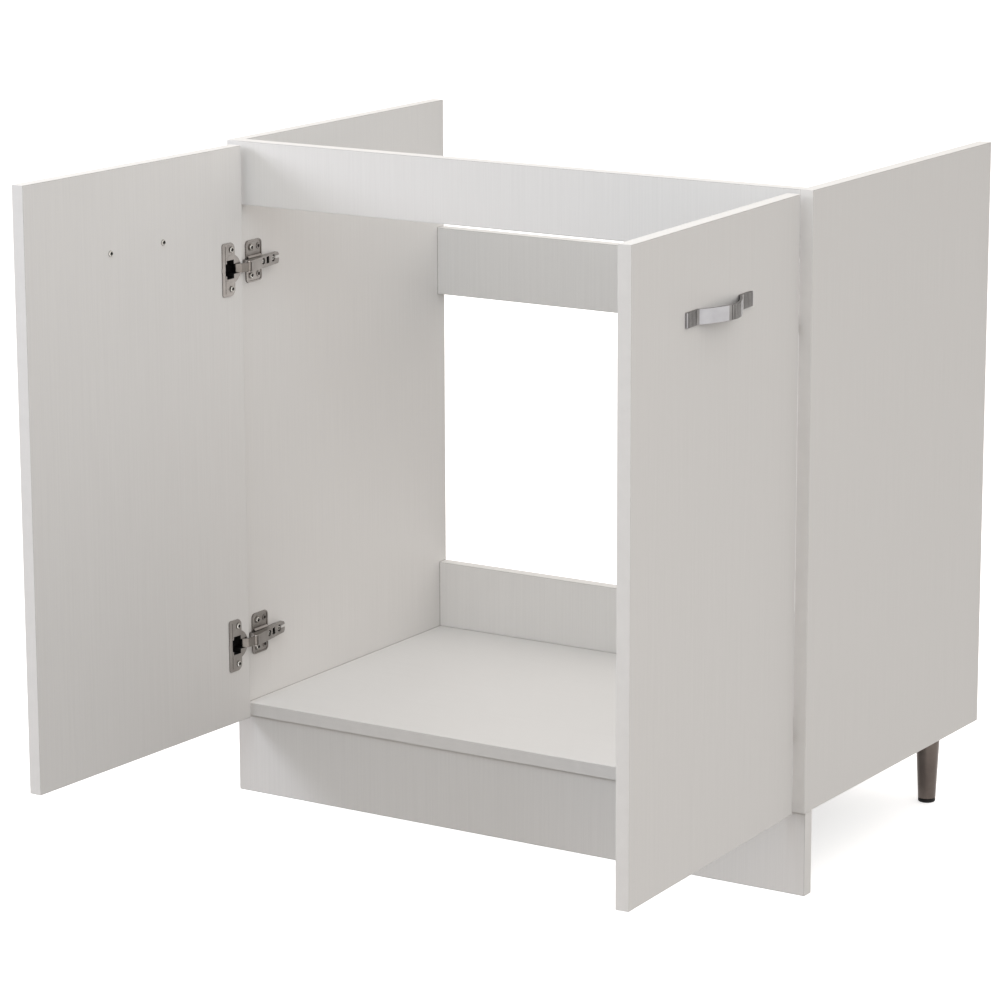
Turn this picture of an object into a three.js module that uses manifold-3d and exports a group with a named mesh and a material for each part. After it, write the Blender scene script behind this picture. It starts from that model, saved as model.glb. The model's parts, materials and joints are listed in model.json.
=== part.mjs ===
// Sink base cabinet with two doors, open top and open service space at the back.
// Millimetres, +X right, +Y back, +Z up. The origin is on the floor, under the middle of the plinth board.
// The doors are modelled in the photographed pose: both open a little past a right angle.
import * as THREE from "three";
import { mergeVertices } from "three/addons/utils/BufferGeometryUtils.js";
import Module from "manifold-3d";

const wasm = await Module();
wasm.setup();

// ---------- driving dimensions ----------
const CABINET_WIDTH = 800;
const CABINET_DEPTH = 455; // front edge to back edge of a side panel
const SIDE_HEIGHT = 720;
const PLINTH_HEIGHT = 100;
const BOARD = 16; // thickness of every board

const FRONT_RAIL_HEIGHT = 78;
const REAR_RAIL_HEIGHT = 88;
const REAR_TOP_RAIL_DROP = 166; // from the side panel's top edge down to the rear top rail's top edge
const PLINTH_SETBACK = 3; // plinth face behind the side panels' front edges

const DOOR_TOP_GAP = 4; // cabinet's top edge to the door's top edge
const DOOR_REVEAL = 2.5; // outer edge of a closed door to the cabinet's outer face
const DOOR_CENTRE_GAP = 3; // between the two closed doors
const DOOR_BACK_GAP = 3; // back of a closed door to the front edges of the side panels
const DOOR_OPEN_ANGLE = 92.3; // degrees from closed, as photographed
const DOOR_AXIS_DEPTH = 18; // effective hinge axis in front of the front edges
const DOOR_SWING_CLEARANCE = 0.35; // turning door corner to the side panel's front edge

const UPPER_HINGE_DROP = 148; // door top to hinge centre
const LOWER_HINGE_RISE = 99; // door bottom to hinge centre

const CUP_CENTRE = 22.5; // door edge to cup centre
const CUP_RADIUS = 17.5;
const CUP_WALL = 1.2;
const CUP_DEPTH = 12.2; // door face to the outside of the cup's floor
const CUP_FLOOR = 0.9;
const CUP_LIP = 0.5; // round rim beyond the cup's wall
const CUP_MOUTH = { back: 12, halfHeight: 11.5 }; // from the cup's centre: inward, and up and down
// The flange's near and far are measured from the door edge.
const FLANGE = { near: 16.2, far: 40, height: 65, thickness: 1, cornerRadius: 6 };
const CUP_SCREW_PITCH = 48;
const CUP_SCREW_FROM_EDGE = 23;

const ARM_PIVOT = { fromDoorEdge: 30.3, front: 3.5 }; // of the closed door, and ahead of the front edges
const ARM_LENGTH = 75; // pivot to the arm's back end
const ARM_HEIGHT = 14;
const ARM_WALL = 1.3;
const ARM_EYE_RADIUS = 3.1;
const ARM_FORK_ROOM = 1.5; // eye to the back of the slot that the link turns in
const ARM_RISE = 2; // arm's outer face beyond the pivot line
const ARM_SKIRT = 8; // arm's outer face to its open edge, at the fork
const ARM_BACK = { face: 7.8, edge: 2.3 }; // outer face and open edge above the side panel, at the back end
const ARM_SCREW_HOLE = { radius: 3, fromPivot: 60 }; // over the screw that holds the arm to the plate
const PIVOT_PIN_RADIUS = 1.2;

const LINK_KNEE = { across: -1.1, forward: 14.5 }; // from the arm pivot to the bend, open pose
const LINK_TIP = { across: -7.1, forward: 17.2 }; // from the arm pivot to the end in the cup, open pose
const LINK_THICKNESS = 2.2;
const LINK_EYE_RADIUS = 2.5;

const PLATE = { front: 11.5, width: 32, height: 51.5, thickness: 2, cornerRadius: 5 };
const PLATE_RISE = 1.4; // plate's wings and screws above the arm's centre line
const PLATE_BODY = { front: 6, back: 64, sideClearance: 0.5 }; // raised middle that the arm sits over
const PLATE_SCREW_PITCH = 34.5;
const PLATE_SCREW_FROM_FRONT = 10; // plate's front edge to its screws
const PLATE_SPARE_HOLE = { fromFront: 25.5, radius: 2.2 }; // unused hole behind each screw

const HANDLE_LENGTH = 155;
const HANDLE_HEIGHT = 16.5;
const HANDLE_STRAP = 2.6; // thickness of the bent strap
const HANDLE_PROJECTION = 22.5;
const HANDLE_SCREW_PITCH = 96;
const HANDLE_FLANK_START = 2; // from a screw's centre outward to the end of the flat foot
const HANDLE_CREST = { half: 11.5, fall: 0.6, bend: 4, bendFall: 2.2 }; // flat middle and its rounded ends
const HANDLE_DROP = 98; // door top to handle centre
const RIB = { first: 2.5, pitch: 3.6, depth: 0.5 }; // grooves across the feet, the first from the end

const LEG_INSET = { side: 29, back: 45 }; // leg centre from the side panel's inner face and from the back
const LEG_TOP_RADIUS = 15.5;
const LEG_BOTTOM_RADIUS = 11;
const LEG_WALL = 1.5;
const LEG_PLATE = { radius: 26, thickness: 2 };
const FOOT_HEIGHT = 5;
const FOOT_CHAMFER = 1;
const FOOT_STEM = { radius: 4, height: 34 };
const FOOT_NUT_HEIGHT = 8; // threaded insert at the leg's lower end

const BRACKET = { width: 34, leg: 30, thickness: 2, fromCentre: 260 };
const CAM = { radius: 7.5, depth: 12, fromEnd: 34, fromEdge: 60 };
const CAM_SLOT = { width: 1.4, depth: 1, margin: 2 }; // cross slot, ending short of the rim

const SCREW_SHANK_RADIUS = 1.6;
const SCREW_HEAD = { radius: 3.4, edge: 0.9, height: 1.8, crownRadius: 2.04 };
const WOOD_SCREW_LENGTH = 11;
const CUP_SCREW_LENGTH = 9;
const HANDLE_SCREW_RADIUS = 2;
const HANDLE_SCREW_GRIP = 2.6; // thread inside the handle

const GAP = 0.3; // fitting clearance between pieces
const ROUND = 24; // facets of large round pieces
const SMALL_ROUND = 12; // facets of screws and pins
const CORNER_FACETS = 6; // facets of a rounded corner
const OVERCUT = 1; // how far a cutting shape runs past the face it opens

// ---------- sizes that follow ----------
const INNER_HALF = CABINET_WIDTH / 2 - BOARD;
const TOP = PLINTH_HEIGHT + SIDE_HEIGHT;
const FRONT_Y = -(PLINTH_SETBACK + BOARD / 2); // front edges of the side panels
const BOTTOM_TOP = PLINTH_HEIGHT + BOARD;
const BACK_Y = FRONT_Y + CABINET_DEPTH;
const DOOR_HEIGHT = SIDE_HEIGHT - DOOR_TOP_GAP;
const DOOR_WIDTH = (CABINET_WIDTH - DOOR_CENTRE_GAP) / 2 - DOOR_REVEAL;
const DOOR_OVERLAY = BOARD - DOOR_REVEAL;
const HINGE_HEIGHTS = {
  lower: PLINTH_HEIGHT + LOWER_HINGE_RISE,
  upper: PLINTH_HEIGHT + DOOR_HEIGHT - UPPER_HINGE_DROP,
};

// The door turns about one upright axis. The axis is placed so that the door's back corner, as it
// turns, stays DOOR_SWING_CLEARANCE ahead of the side panel's front edge.
const CORNER_REACH = DOOR_AXIS_DEPTH - DOOR_SWING_CLEARANCE;
const CORNER_DEPTH = DOOR_AXIS_DEPTH - DOOR_BACK_GAP;
const DOOR_AXIS_U = Math.sqrt(CORNER_REACH ** 2 - CORNER_DEPTH ** 2) - DOOR_OVERLAY;
const ARM_PIVOT_U = ARM_PIVOT.fromDoorEdge - DOOR_OVERLAY;
const ARM_FACE_U = ARM_PIVOT_U + ARM_RISE;

// ---------- materials ----------
function finish(color, roughness, metalness) {
  return new THREE.MeshStandardMaterial({ color, roughness, metalness });
}
const WHITE_BOARD = finish(0xf1f0ee, 0.55, 0);
const BRIGHT_NICKEL = finish(0xc9c8c4, 0.28, 1);
const STEEL = finish(0xa7a29b, 0.35, 1);
const DARK_NICKEL = finish(0x6d655e, 0.4, 1);
const BLACK_PLASTIC = finish(0x161514, 0.6, 0);

// ---------- shapes ----------
function box(low, high) {
  const size = high.map((h, i) => h - low[i]);
  const geometry = new THREE.BoxGeometry(...size);
  return geometry.translate(...low.map((l, i) => l + size[i] / 2));
}

// Upright solid of revolution about +Z through (x, y), from a closed profile of [radius, z] points.
function turned(profile, facets, x = 0, y = 0) {
  const points = profile.map(([r, z]) => new THREE.Vector2(r, z));
  return new THREE.LatheGeometry(points, facets).rotateX(Math.PI / 2).translate(x, y, 0);
}

function cylinder(radius, low, high, facets, x = 0, y = 0) {
  return turned([[0, low], [radius, low], [radius, high], [0, high]], facets, x, y);
}

// Flat outline in X and Y, given thickness from low to high.
function slab(shape, low, high) {
  const settings = { depth: high - low, bevelEnabled: false, curveSegments: CORNER_FACETS };
  return new THREE.ExtrudeGeometry(shape, settings).translate(0, 0, low);
}

function polygon(points) {
  return new THREE.Shape(points.map(([x, y]) => new THREE.Vector2(x, y)));
}

function roundedRectangle(x0, y0, x1, y1, radius) {
  const shape = new THREE.Shape();
  shape.moveTo(x0 + radius, y0);
  shape.lineTo(x1 - radius, y0);
  shape.absarc(x1 - radius, y0 + radius, radius, -Math.PI / 2, 0);
  shape.lineTo(x1, y1 - radius);
  shape.absarc(x1 - radius, y1 - radius, radius, 0, Math.PI / 2);
  shape.lineTo(x0 + radius, y1);
  shape.absarc(x0 + radius, y1 - radius, radius, Math.PI / 2, Math.PI);
  shape.lineTo(x0, y0 + radius);
  shape.absarc(x0 + radius, y0 + radius, radius, Math.PI, 1.5 * Math.PI);
  return shape;
}

// These turn a solid drawn along +Z so that it points along +X, +Y or -Y.
const alongX = (geometry) => geometry.rotateY(Math.PI / 2);
const alongY = (geometry) => geometry.rotateX(-Math.PI / 2);
const alongMinusY = (geometry) => geometry.rotateX(Math.PI / 2);

// ---------- cutting and joining ----------
function solid(geometry) {
  const bare = geometry.index ? geometry.toNonIndexed() : geometry.clone();
  bare.deleteAttribute("normal");
  bare.deleteAttribute("uv");
  const merged = mergeVertices(bare, 1e-4);
  const vertProperties = new Float32Array(merged.attributes.position.array);
  const corners = merged.index.array;
  const kept = [];
  for (let i = 0; i < corners.length; i += 3) {
    const [a, b, c] = corners.slice(i, i + 3);
    if (a !== b && b !== c && c !== a) kept.push(a, b, c);
  }
  return new wasm.Manifold(new wasm.Mesh({ numProp: 3, vertProperties, triVerts: new Uint32Array(kept) }));
}

function surface(body) {
  const mesh = body.getMesh();
  const geometry = new THREE.BufferGeometry();
  geometry.setAttribute("position", new THREE.BufferAttribute(new Float32Array(mesh.vertProperties), 3));
  geometry.setIndex(new THREE.BufferAttribute(new Uint32Array(mesh.triVerts), 1));
  const flat = geometry.toNonIndexed();
  flat.computeVertexNormals();
  return flat;
}

const joined = (...geometries) => geometries.map(solid).reduce((sum, next) => sum.add(next));
const without = (body, cutters) => cutters.map(solid).reduce((rest, cutter) => rest.subtract(cutter), body);
const cut = (base, cutters) => surface(without(solid(base), cutters));

function piece(parent, name, geometry, material) {
  const mesh = new THREE.Mesh(geometry, material);
  mesh.name = name;
  parent.add(mesh);
  return mesh;
}

// ---------- boards ----------
// A mounting plate's screw above the hinge centre, end 1 for the upper one and -1 for the lower one.
const plateScrewRise = (end) => PLATE_RISE + (end * PLATE_SCREW_PITCH) / 2;

// Pilot holes for the mounting plates' screws, in the side panel's inner face.
function plateScrewPlaces() {
  const along = FRONT_Y + PLATE.front + PLATE_SCREW_FROM_FRONT;
  return Object.values(HINGE_HEIGHTS).flatMap((height) =>
    [-1, 1].map((end) => ({ y: along, z: height + plateScrewRise(end) })),
  );
}

function sidePanel() {
  const panel = box([-BOARD, FRONT_Y, PLINTH_HEIGHT], [0, BACK_Y, TOP]);
  const depth = WOOD_SCREW_LENGTH - PLATE.thickness + GAP;
  const holes = plateScrewPlaces().map(({ y, z }) =>
    alongX(cylinder(SCREW_SHANK_RADIUS + GAP, -depth, OVERCUT, SMALL_ROUND)).translate(0, y, z),
  );
  return cut(panel, holes);
}

function camPlaces() {
  const x = INNER_HALF - CAM.fromEnd;
  const front = FRONT_Y + CAM.fromEdge;
  const rear = BACK_Y - CAM.fromEdge;
  return [
    { name: "left_front", x: -x, y: front },
    { name: "left_rear", x: -x, y: rear },
    { name: "right_front", x, y: front },
    { name: "right_rear", x, y: rear },
  ];
}

function bottomPanel() {
  const panel = box([-INNER_HALF, FRONT_Y, PLINTH_HEIGHT], [INNER_HALF, BACK_Y, BOTTOM_TOP]);
  const pockets = camPlaces().map(({ x, y }) =>
    cylinder(CAM.radius + GAP, PLINTH_HEIGHT - OVERCUT, PLINTH_HEIGHT + CAM.depth + GAP, ROUND, x, y),
  );
  return cut(panel, pockets);
}

function camConnector({ x, y }) {
  const disc = cylinder(CAM.radius, PLINTH_HEIGHT, PLINTH_HEIGHT + CAM.depth, ROUND, x, y);
  const slotTop = PLINTH_HEIGHT + CAM_SLOT.depth;
  const slotLow = PLINTH_HEIGHT - OVERCUT;
  const reach = CAM.radius - CAM_SLOT.margin;
  const half = CAM_SLOT.width / 2;
  return cut(disc, [
    box([x - reach, y - half, slotLow], [x + reach, y + half, slotTop]),
    box([x - half, y - reach, slotLow], [x + half, y + reach, slotTop]),
  ]);
}

function rail(centreY, low, height) {
  return box([-INNER_HALF, centreY - BOARD / 2, low], [INNER_HALF, centreY + BOARD / 2, low + height]);
}

function plinthBracket(x) {
  const y = BOARD / 2;
  const outline = polygon([
    [y, PLINTH_HEIGHT],
    [y, PLINTH_HEIGHT - BRACKET.leg],
    [y + BRACKET.thickness, PLINTH_HEIGHT - BRACKET.leg],
    [y + BRACKET.thickness, PLINTH_HEIGHT - BRACKET.thickness],
    [y + BRACKET.leg, PLINTH_HEIGHT - BRACKET.thickness],
    [y + BRACKET.leg, PLINTH_HEIGHT],
  ]);
  return slab(outline, x - BRACKET.width / 2, x + BRACKET.width / 2).applyMatrix4(
    new THREE.Matrix4().makeBasis(
      new THREE.Vector3(0, 1, 0),
      new THREE.Vector3(0, 0, 1),
      new THREE.Vector3(1, 0, 0),
    ),
  );
}

// ---------- legs ----------
function legTube() {
  const top = PLINTH_HEIGHT - LEG_PLATE.thickness;
  const low = FOOT_HEIGHT;
  const bore = FOOT_STEM.radius + GAP;
  return turned(
    [
      [LEG_BOTTOM_RADIUS, low],
      [LEG_TOP_RADIUS, top],
      [LEG_TOP_RADIUS - LEG_WALL, top],
      [LEG_BOTTOM_RADIUS - LEG_WALL, low + FOOT_NUT_HEIGHT],
      [bore, low + FOOT_NUT_HEIGHT],
      [bore, low],
      [LEG_BOTTOM_RADIUS, low],
    ],
    ROUND,
  );
}

function legFoot() {
  const radius = LEG_BOTTOM_RADIUS - GAP;
  return turned(
    [
      [0, 0],
      [radius - FOOT_CHAMFER, 0],
      [radius, FOOT_CHAMFER],
      [radius, FOOT_HEIGHT],
      [FOOT_STEM.radius, FOOT_HEIGHT],
      [FOOT_STEM.radius, FOOT_STEM.height],
      [0, FOOT_STEM.height],
    ],
    ROUND,
  );
}

// ---------- screws, drawn along +Z with the head on top of z = 0 ----------
function screw(length, shankRadius) {
  return turned(
    [
      [0, -length],
      [shankRadius, shankRadius - length],
      [shankRadius, 0],
      [SCREW_HEAD.radius, 0],
      [SCREW_HEAD.radius, SCREW_HEAD.edge],
      [SCREW_HEAD.crownRadius, SCREW_HEAD.height],
      [0, SCREW_HEAD.height],
    ],
    SMALL_ROUND,
  );
}

// ---------- hinge pieces on the side panel ----------
// u runs from the side panel's inner face into the cabinet, y to the back, z up from the hinge centre.
const PIVOT_Y = FRONT_Y - ARM_PIVOT.front;
const FORK_BACK_Y = PIVOT_Y + ARM_EYE_RADIUS + ARM_FORK_ROOM;
const ARM_BACK_Y = PIVOT_Y + ARM_LENGTH;
const ARM_SLOPE = (ARM_FACE_U - ARM_BACK.face) / (ARM_BACK_Y - FORK_BACK_Y);
const armFace = (y) => ARM_FACE_U - ARM_SLOPE * (y - FORK_BACK_Y);

function mountingPlate() {
  const front = FRONT_Y + PLATE.front;
  const outline = roundedRectangle(
    -PLATE.height / 2,
    front,
    PLATE.height / 2,
    front + PLATE.width,
    PLATE.cornerRadius,
  );
  const wings = alongX(slab(outline, 0, PLATE.thickness)).translate(0, 0, PLATE_RISE);
  const half = ARM_HEIGHT / 2 - ARM_WALL - PLATE_BODY.sideClearance;
  const bodyFront = FRONT_Y + PLATE_BODY.front;
  const bodyBack = FRONT_Y + PLATE_BODY.back;
  const side = polygon([
    [0, bodyFront],
    [armFace(bodyFront) - ARM_WALL - GAP, bodyFront],
    [armFace(bodyBack) - ARM_WALL - GAP, bodyBack],
    [0, bodyBack],
  ]);
  const body = slab(side, -half, half);
  const hole = (radius, fromFront, end) => {
    const bore = alongX(cylinder(radius, -OVERCUT, PLATE.thickness + OVERCUT, SMALL_ROUND));
    return bore.translate(0, front + fromFront, plateScrewRise(end));
  };
  const holes = [-1, 1].flatMap((end) => [
    hole(SCREW_SHANK_RADIUS + GAP, PLATE_SCREW_FROM_FRONT, end),
    hole(PLATE_SPARE_HOLE.radius, PLATE_SPARE_HOLE.fromFront, end),
  ]);
  return surface(without(joined(wings, body), holes));
}

function hingeArm() {
  const half = ARM_HEIGHT / 2;
  const cheekFront = PIVOT_Y - ARM_EYE_RADIUS;
  const inner = half - ARM_WALL;
  const side = polygon([
    [ARM_FACE_U - ARM_SKIRT, FORK_BACK_Y],
    [ARM_FACE_U, FORK_BACK_Y],
    [ARM_BACK.face, ARM_BACK_Y],
    [ARM_BACK.edge, ARM_BACK_Y],
  ]);
  const channel = slab(side, -half, half);
  const eye = cylinder(ARM_EYE_RADIUS, -half, half, SMALL_ROUND, ARM_PIVOT_U, PIVOT_Y);
  const cheekLow = ARM_PIVOT_U - ARM_EYE_RADIUS;
  const cheekBack = FORK_BACK_Y + OVERCUT;
  const cheekSide = polygon([
    [cheekLow, PIVOT_Y],
    [ARM_FACE_U, PIVOT_Y],
    [ARM_FACE_U, FORK_BACK_Y],
    [armFace(cheekBack), cheekBack],
    [cheekLow, cheekBack],
  ]);
  const cheeks = slab(cheekSide, -half, half);
  const hollowFront = FORK_BACK_Y + ARM_WALL;
  const hollowBack = ARM_BACK_Y + OVERCUT;
  const room = polygon([
    [0, hollowFront],
    [armFace(hollowFront) - ARM_WALL, hollowFront],
    [armFace(hollowBack) - ARM_WALL, hollowBack],
    [0, hollowBack],
  ]);
  const hollow = slab(room, -inner, inner);
  const fork = box([0, cheekFront - OVERCUT, -inner], [ARM_FACE_U + OVERCUT, FORK_BACK_Y, inner]);
  const pin = cylinder(PIVOT_PIN_RADIUS, -half, half, SMALL_ROUND, ARM_PIVOT_U, PIVOT_Y);
  const holeY = PIVOT_Y + ARM_SCREW_HOLE.fromPivot;
  const screwHole = alongX(cylinder(ARM_SCREW_HOLE.radius, -ARM_WALL - OVERCUT, OVERCUT, SMALL_ROUND));
  screwHole.translate(armFace(holeY), holeY, 0);
  const body = without(joined(channel, eye, cheeks), [hollow, fork, screwHole]);
  return surface(body.add(solid(pin)));
}

// Bent strap from the arm pivot over the door's edge into the cup. Its cup end is left free.
function hingeLink() {
  const half = ARM_HEIGHT / 2 - ARM_WALL - GAP;
  const knee = new THREE.Vector2(LINK_KNEE.across, -LINK_KNEE.forward);
  const tip = new THREE.Vector2(LINK_TIP.across, -LINK_TIP.forward);
  const radius = LINK_THICKNESS / 2;
  const bar = (from, to) => {
    const run = to.clone().sub(from);
    const length = run.length();
    const strip = box([0, -radius, -half], [length, radius, half]);
    return strip.rotateZ(run.angle()).translate(from.x, from.y, 0);
  };
  const start = knee.clone().setLength(LINK_EYE_RADIUS - radius);
  const strap = joined(
    cylinder(LINK_EYE_RADIUS, -half, half, SMALL_ROUND),
    bar(start, knee),
    cylinder(radius, -half, half, SMALL_ROUND, knee.x, knee.y),
    bar(knee, tip),
    cylinder(radius, -half, half, SMALL_ROUND, tip.x, tip.y),
  );
  const hole = cylinder(PIVOT_PIN_RADIUS + GAP, -half - OVERCUT, half + OVERCUT, SMALL_ROUND);
  return surface(without(strap, [hole]));
}

// ---------- door pieces, drawn closed: x from the hinge edge, y from the back face forward, z up ----------
function doorPanel() {
  const panel = box([0, -BOARD, 0], [DOOR_WIDTH, 0, DOOR_HEIGHT]);
  const cutters = [];
  for (const height of Object.values(HINGE_HEIGHTS)) {
    const z = height - PLINTH_HEIGHT;
    const bore = alongMinusY(cylinder(CUP_RADIUS + GAP, -OVERCUT, CUP_DEPTH + GAP, ROUND));
    cutters.push(bore.translate(CUP_CENTRE, 0, z));
    for (const end of [-1, 1]) {
      const pilot = cylinder(SCREW_SHANK_RADIUS + GAP, -OVERCUT, CUP_SCREW_LENGTH + GAP, SMALL_ROUND);
      const pilotZ = z + (end * CUP_SCREW_PITCH) / 2;
      cutters.push(alongMinusY(pilot).translate(CUP_SCREW_FROM_EDGE, 0, pilotZ));
    }
  }
  for (const end of [-1, 1]) {
    const through = alongMinusY(cylinder(HANDLE_SCREW_RADIUS + GAP, -OVERCUT, BOARD + OVERCUT, SMALL_ROUND));
    const x = DOOR_WIDTH / 2 + (end * HANDLE_SCREW_PITCH) / 2;
    cutters.push(through.translate(x, 0, DOOR_HEIGHT - HANDLE_DROP));
  }
  return cut(panel, cutters);
}

// Cup let into the door, with its flange on the door's back face. Drawn with the flange facing +Z.
function hingeCup() {
  const { near, far, height, thickness, cornerRadius } = FLANGE;
  const outline = roundedRectangle(near, -height / 2, far, height / 2, cornerRadius);
  const face = GAP + thickness;
  const floor = CUP_FLOOR - CUP_DEPTH;
  const flange = slab(outline, GAP, face);
  const rim = cylinder(CUP_RADIUS + CUP_LIP, GAP, face, ROUND, CUP_CENTRE, 0);
  const pot = cylinder(CUP_RADIUS, -CUP_DEPTH, face, ROUND, CUP_CENTRE, 0);
  const room = cylinder(CUP_RADIUS - CUP_WALL, floor, face + OVERCUT, ROUND, CUP_CENTRE, 0);
  const mouth = box(
    [CUP_CENTRE - CUP_RADIUS, -CUP_MOUTH.halfHeight, floor - OVERCUT],
    [CUP_CENTRE + CUP_MOUTH.back, CUP_MOUTH.halfHeight, face + 2 * OVERCUT],
  );
  const holes = [-1, 1].map((end) => {
    const hole = cylinder(SCREW_SHANK_RADIUS + GAP, GAP - OVERCUT, face + OVERCUT, SMALL_ROUND);
    return hole.translate(CUP_SCREW_FROM_EDGE, (end * CUP_SCREW_PITCH) / 2, 0);
  });
  const shell = joined(flange, rim, pot).subtract(solid(room).intersect(solid(mouth)));
  return surface(without(shell, holes));
}

// Bow handle of one bent strap: two flat ribbed feet, straight flanks and a flat crest.
function bowHandle() {
  const half = HANDLE_LENGTH / 2;
  const footEnd = HANDLE_SCREW_PITCH / 2 + HANDLE_FLANK_START;
  const crest = HANDLE_CREST.half;
  const shoulder = crest + HANDLE_CREST.bend;
  const flank = new THREE.Vector2(footEnd - crest, HANDLE_PROJECTION - HANDLE_STRAP);
  const turn = Math.tan(flank.angle() / 2) * HANDLE_STRAP; // mitre of the strap at each bend
  const outer = [[half, HANDLE_STRAP]];
  for (let groove = half - RIB.first; groove - RIB.pitch > footEnd; groove -= RIB.pitch) {
    outer.push([groove, HANDLE_STRAP]);
    outer.push([groove - RIB.pitch / 4, HANDLE_STRAP - RIB.depth]);
    outer.push([groove - RIB.pitch / 2, HANDLE_STRAP]);
  }
  outer.push(
    [footEnd, HANDLE_STRAP],
    [shoulder, HANDLE_PROJECTION - HANDLE_CREST.bendFall],
    [crest, HANDLE_PROJECTION - HANDLE_CREST.fall],
    [0, HANDLE_PROJECTION],
  );
  const innerTop = HANDLE_PROJECTION - HANDLE_STRAP;
  const inner = [
    [0, innerTop],
    [crest - turn, innerTop - HANDLE_CREST.fall],
    [shoulder - turn, innerTop - HANDLE_CREST.bendFall],
    [footEnd - turn, 0],
    [half, 0],
  ];
  const mirrored = (points) => points.map(([x, y]) => [-x, y]).reverse();
  const outline = polygon([...inner, ...outer, ...mirrored(outer.slice(0, -1)), ...mirrored(inner.slice(1))]);
  const strap = slab(outline, -HANDLE_HEIGHT / 2, HANDLE_HEIGHT / 2);
  const threads = [-1, 1].map((end) => {
    const hole = alongY(cylinder(HANDLE_SCREW_RADIUS + GAP, -OVERCUT, HANDLE_SCREW_GRIP + GAP, SMALL_ROUND));
    return hole.translate((end * HANDLE_SCREW_PITCH) / 2, 0, 0);
  });
  return cut(strap, threads);
}

// ---------- one half of the cabinet ----------
// Drawn for the left side with u = 0 on the side panel's inner face. The right half is its mirror image.
function half(side) {
  const group = new THREE.Group();
  const mirrored = side === "right";
  group.position.x = mirrored ? INNER_HALF : -INNER_HALF;
  group.scale.x = mirrored ? -1 : 1;
  const name = (part) => `${side}_${part}`;
  piece(group, name("side_panel"), sidePanel(), WHITE_BOARD);

  for (const [level, height] of Object.entries(HINGE_HEIGHTS)) {
    const plate = piece(group, name(`${level}_mounting_plate`), mountingPlate(), STEEL);
    const arm = piece(group, name(`${level}_hinge_arm`), hingeArm(), STEEL);
    const link = piece(group, name(`${level}_hinge_link`), hingeLink(), STEEL);
    plate.position.z = height;
    arm.position.z = height;
    link.position.set(ARM_PIVOT_U, PIVOT_Y, height);
    for (const [end, label] of [[1, "a"], [-1, "b"]]) {
      const fixing = screw(WOOD_SCREW_LENGTH, SCREW_SHANK_RADIUS);
      const head = piece(group, name(`${level}_plate_screw_${label}`), alongX(fixing), STEEL);
      const y = FRONT_Y + PLATE.front + PLATE_SCREW_FROM_FRONT;
      head.position.set(PLATE.thickness, y, height + plateScrewRise(end));
    }
  }

  const x = LEG_INSET.side;
  const y = BACK_Y - LEG_INSET.back;
  const plateLow = PLINTH_HEIGHT - LEG_PLATE.thickness;
  const legPlate = cylinder(LEG_PLATE.radius, plateLow, PLINTH_HEIGHT, ROUND);
  piece(group, name("leg_plate"), legPlate, STEEL).position.set(x, y, 0);
  piece(group, name("leg_tube"), legTube(), DARK_NICKEL).position.set(x, y, 0);
  piece(group, name("leg_foot"), legFoot(), BLACK_PLASTIC).position.set(x, y, 0);

  group.add(door(name));
  return group;
}

function door(name) {
  const hinged = new THREE.Group();
  hinged.position.set(DOOR_AXIS_U, FRONT_Y - DOOR_AXIS_DEPTH, PLINTH_HEIGHT);
  hinged.rotation.z = THREE.MathUtils.degToRad(-DOOR_OPEN_ANGLE);
  const closed = new THREE.Group(); // its origin is the closed door's bottom back corner at the hinge edge
  closed.position.set(-DOOR_OVERLAY - DOOR_AXIS_U, DOOR_AXIS_DEPTH - DOOR_BACK_GAP, 0);
  hinged.add(closed);
  piece(closed, name("door_panel"), doorPanel(), WHITE_BOARD);

  for (const [level, height] of Object.entries(HINGE_HEIGHTS)) {
    const z = height - PLINTH_HEIGHT;
    piece(closed, name(`${level}_hinge_cup`), alongY(hingeCup()), STEEL).position.z = z;
    for (const [end, label] of [[1, "a"], [-1, "b"]]) {
      const seat = 2 * GAP + FLANGE.thickness;
      const fixing = alongY(screw(CUP_SCREW_LENGTH, SCREW_SHANK_RADIUS));
      const head = piece(closed, name(`${level}_cup_screw_${label}`), fixing, STEEL);
      head.position.set(CUP_SCREW_FROM_EDGE, seat, z + (end * CUP_SCREW_PITCH) / 2);
    }
  }

  const handleHeight = DOOR_HEIGHT - HANDLE_DROP;
  const handle = piece(closed, name("handle"), bowHandle().rotateZ(Math.PI), BRIGHT_NICKEL);
  handle.position.set(DOOR_WIDTH / 2, -BOARD - GAP, handleHeight);
  for (const [end, label] of [[-1, "a"], [1, "b"]]) {
    const bolt = alongY(screw(BOARD + GAP + HANDLE_SCREW_GRIP, HANDLE_SCREW_RADIUS));
    const head = piece(closed, name(`handle_screw_${label}`), bolt, STEEL);
    head.position.set(DOOR_WIDTH / 2 + (end * HANDLE_SCREW_PITCH) / 2, GAP, handleHeight);
  }
  return hinged;
}

// ---------- the whole cabinet ----------
const cabinet = new THREE.Group();
cabinet.add(half("left"), half("right"));
piece(cabinet, "bottom_panel", bottomPanel(), WHITE_BOARD);
const frontRail = rail(FRONT_Y + BOARD / 2, TOP - FRONT_RAIL_HEIGHT, FRONT_RAIL_HEIGHT);
piece(cabinet, "front_top_rail", frontRail, WHITE_BOARD);
const rearTopLow = TOP - REAR_TOP_RAIL_DROP - REAR_RAIL_HEIGHT;
piece(cabinet, "rear_top_rail", rail(BACK_Y - BOARD / 2, rearTopLow, REAR_RAIL_HEIGHT), WHITE_BOARD);
piece(cabinet, "rear_bottom_rail", rail(BACK_Y - BOARD / 2, BOTTOM_TOP, REAR_RAIL_HEIGHT), WHITE_BOARD);
const plinth = box([-CABINET_WIDTH / 2, -BOARD / 2, 0], [CABINET_WIDTH / 2, BOARD / 2, PLINTH_HEIGHT]);
piece(cabinet, "plinth_board", plinth, WHITE_BOARD);
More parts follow.
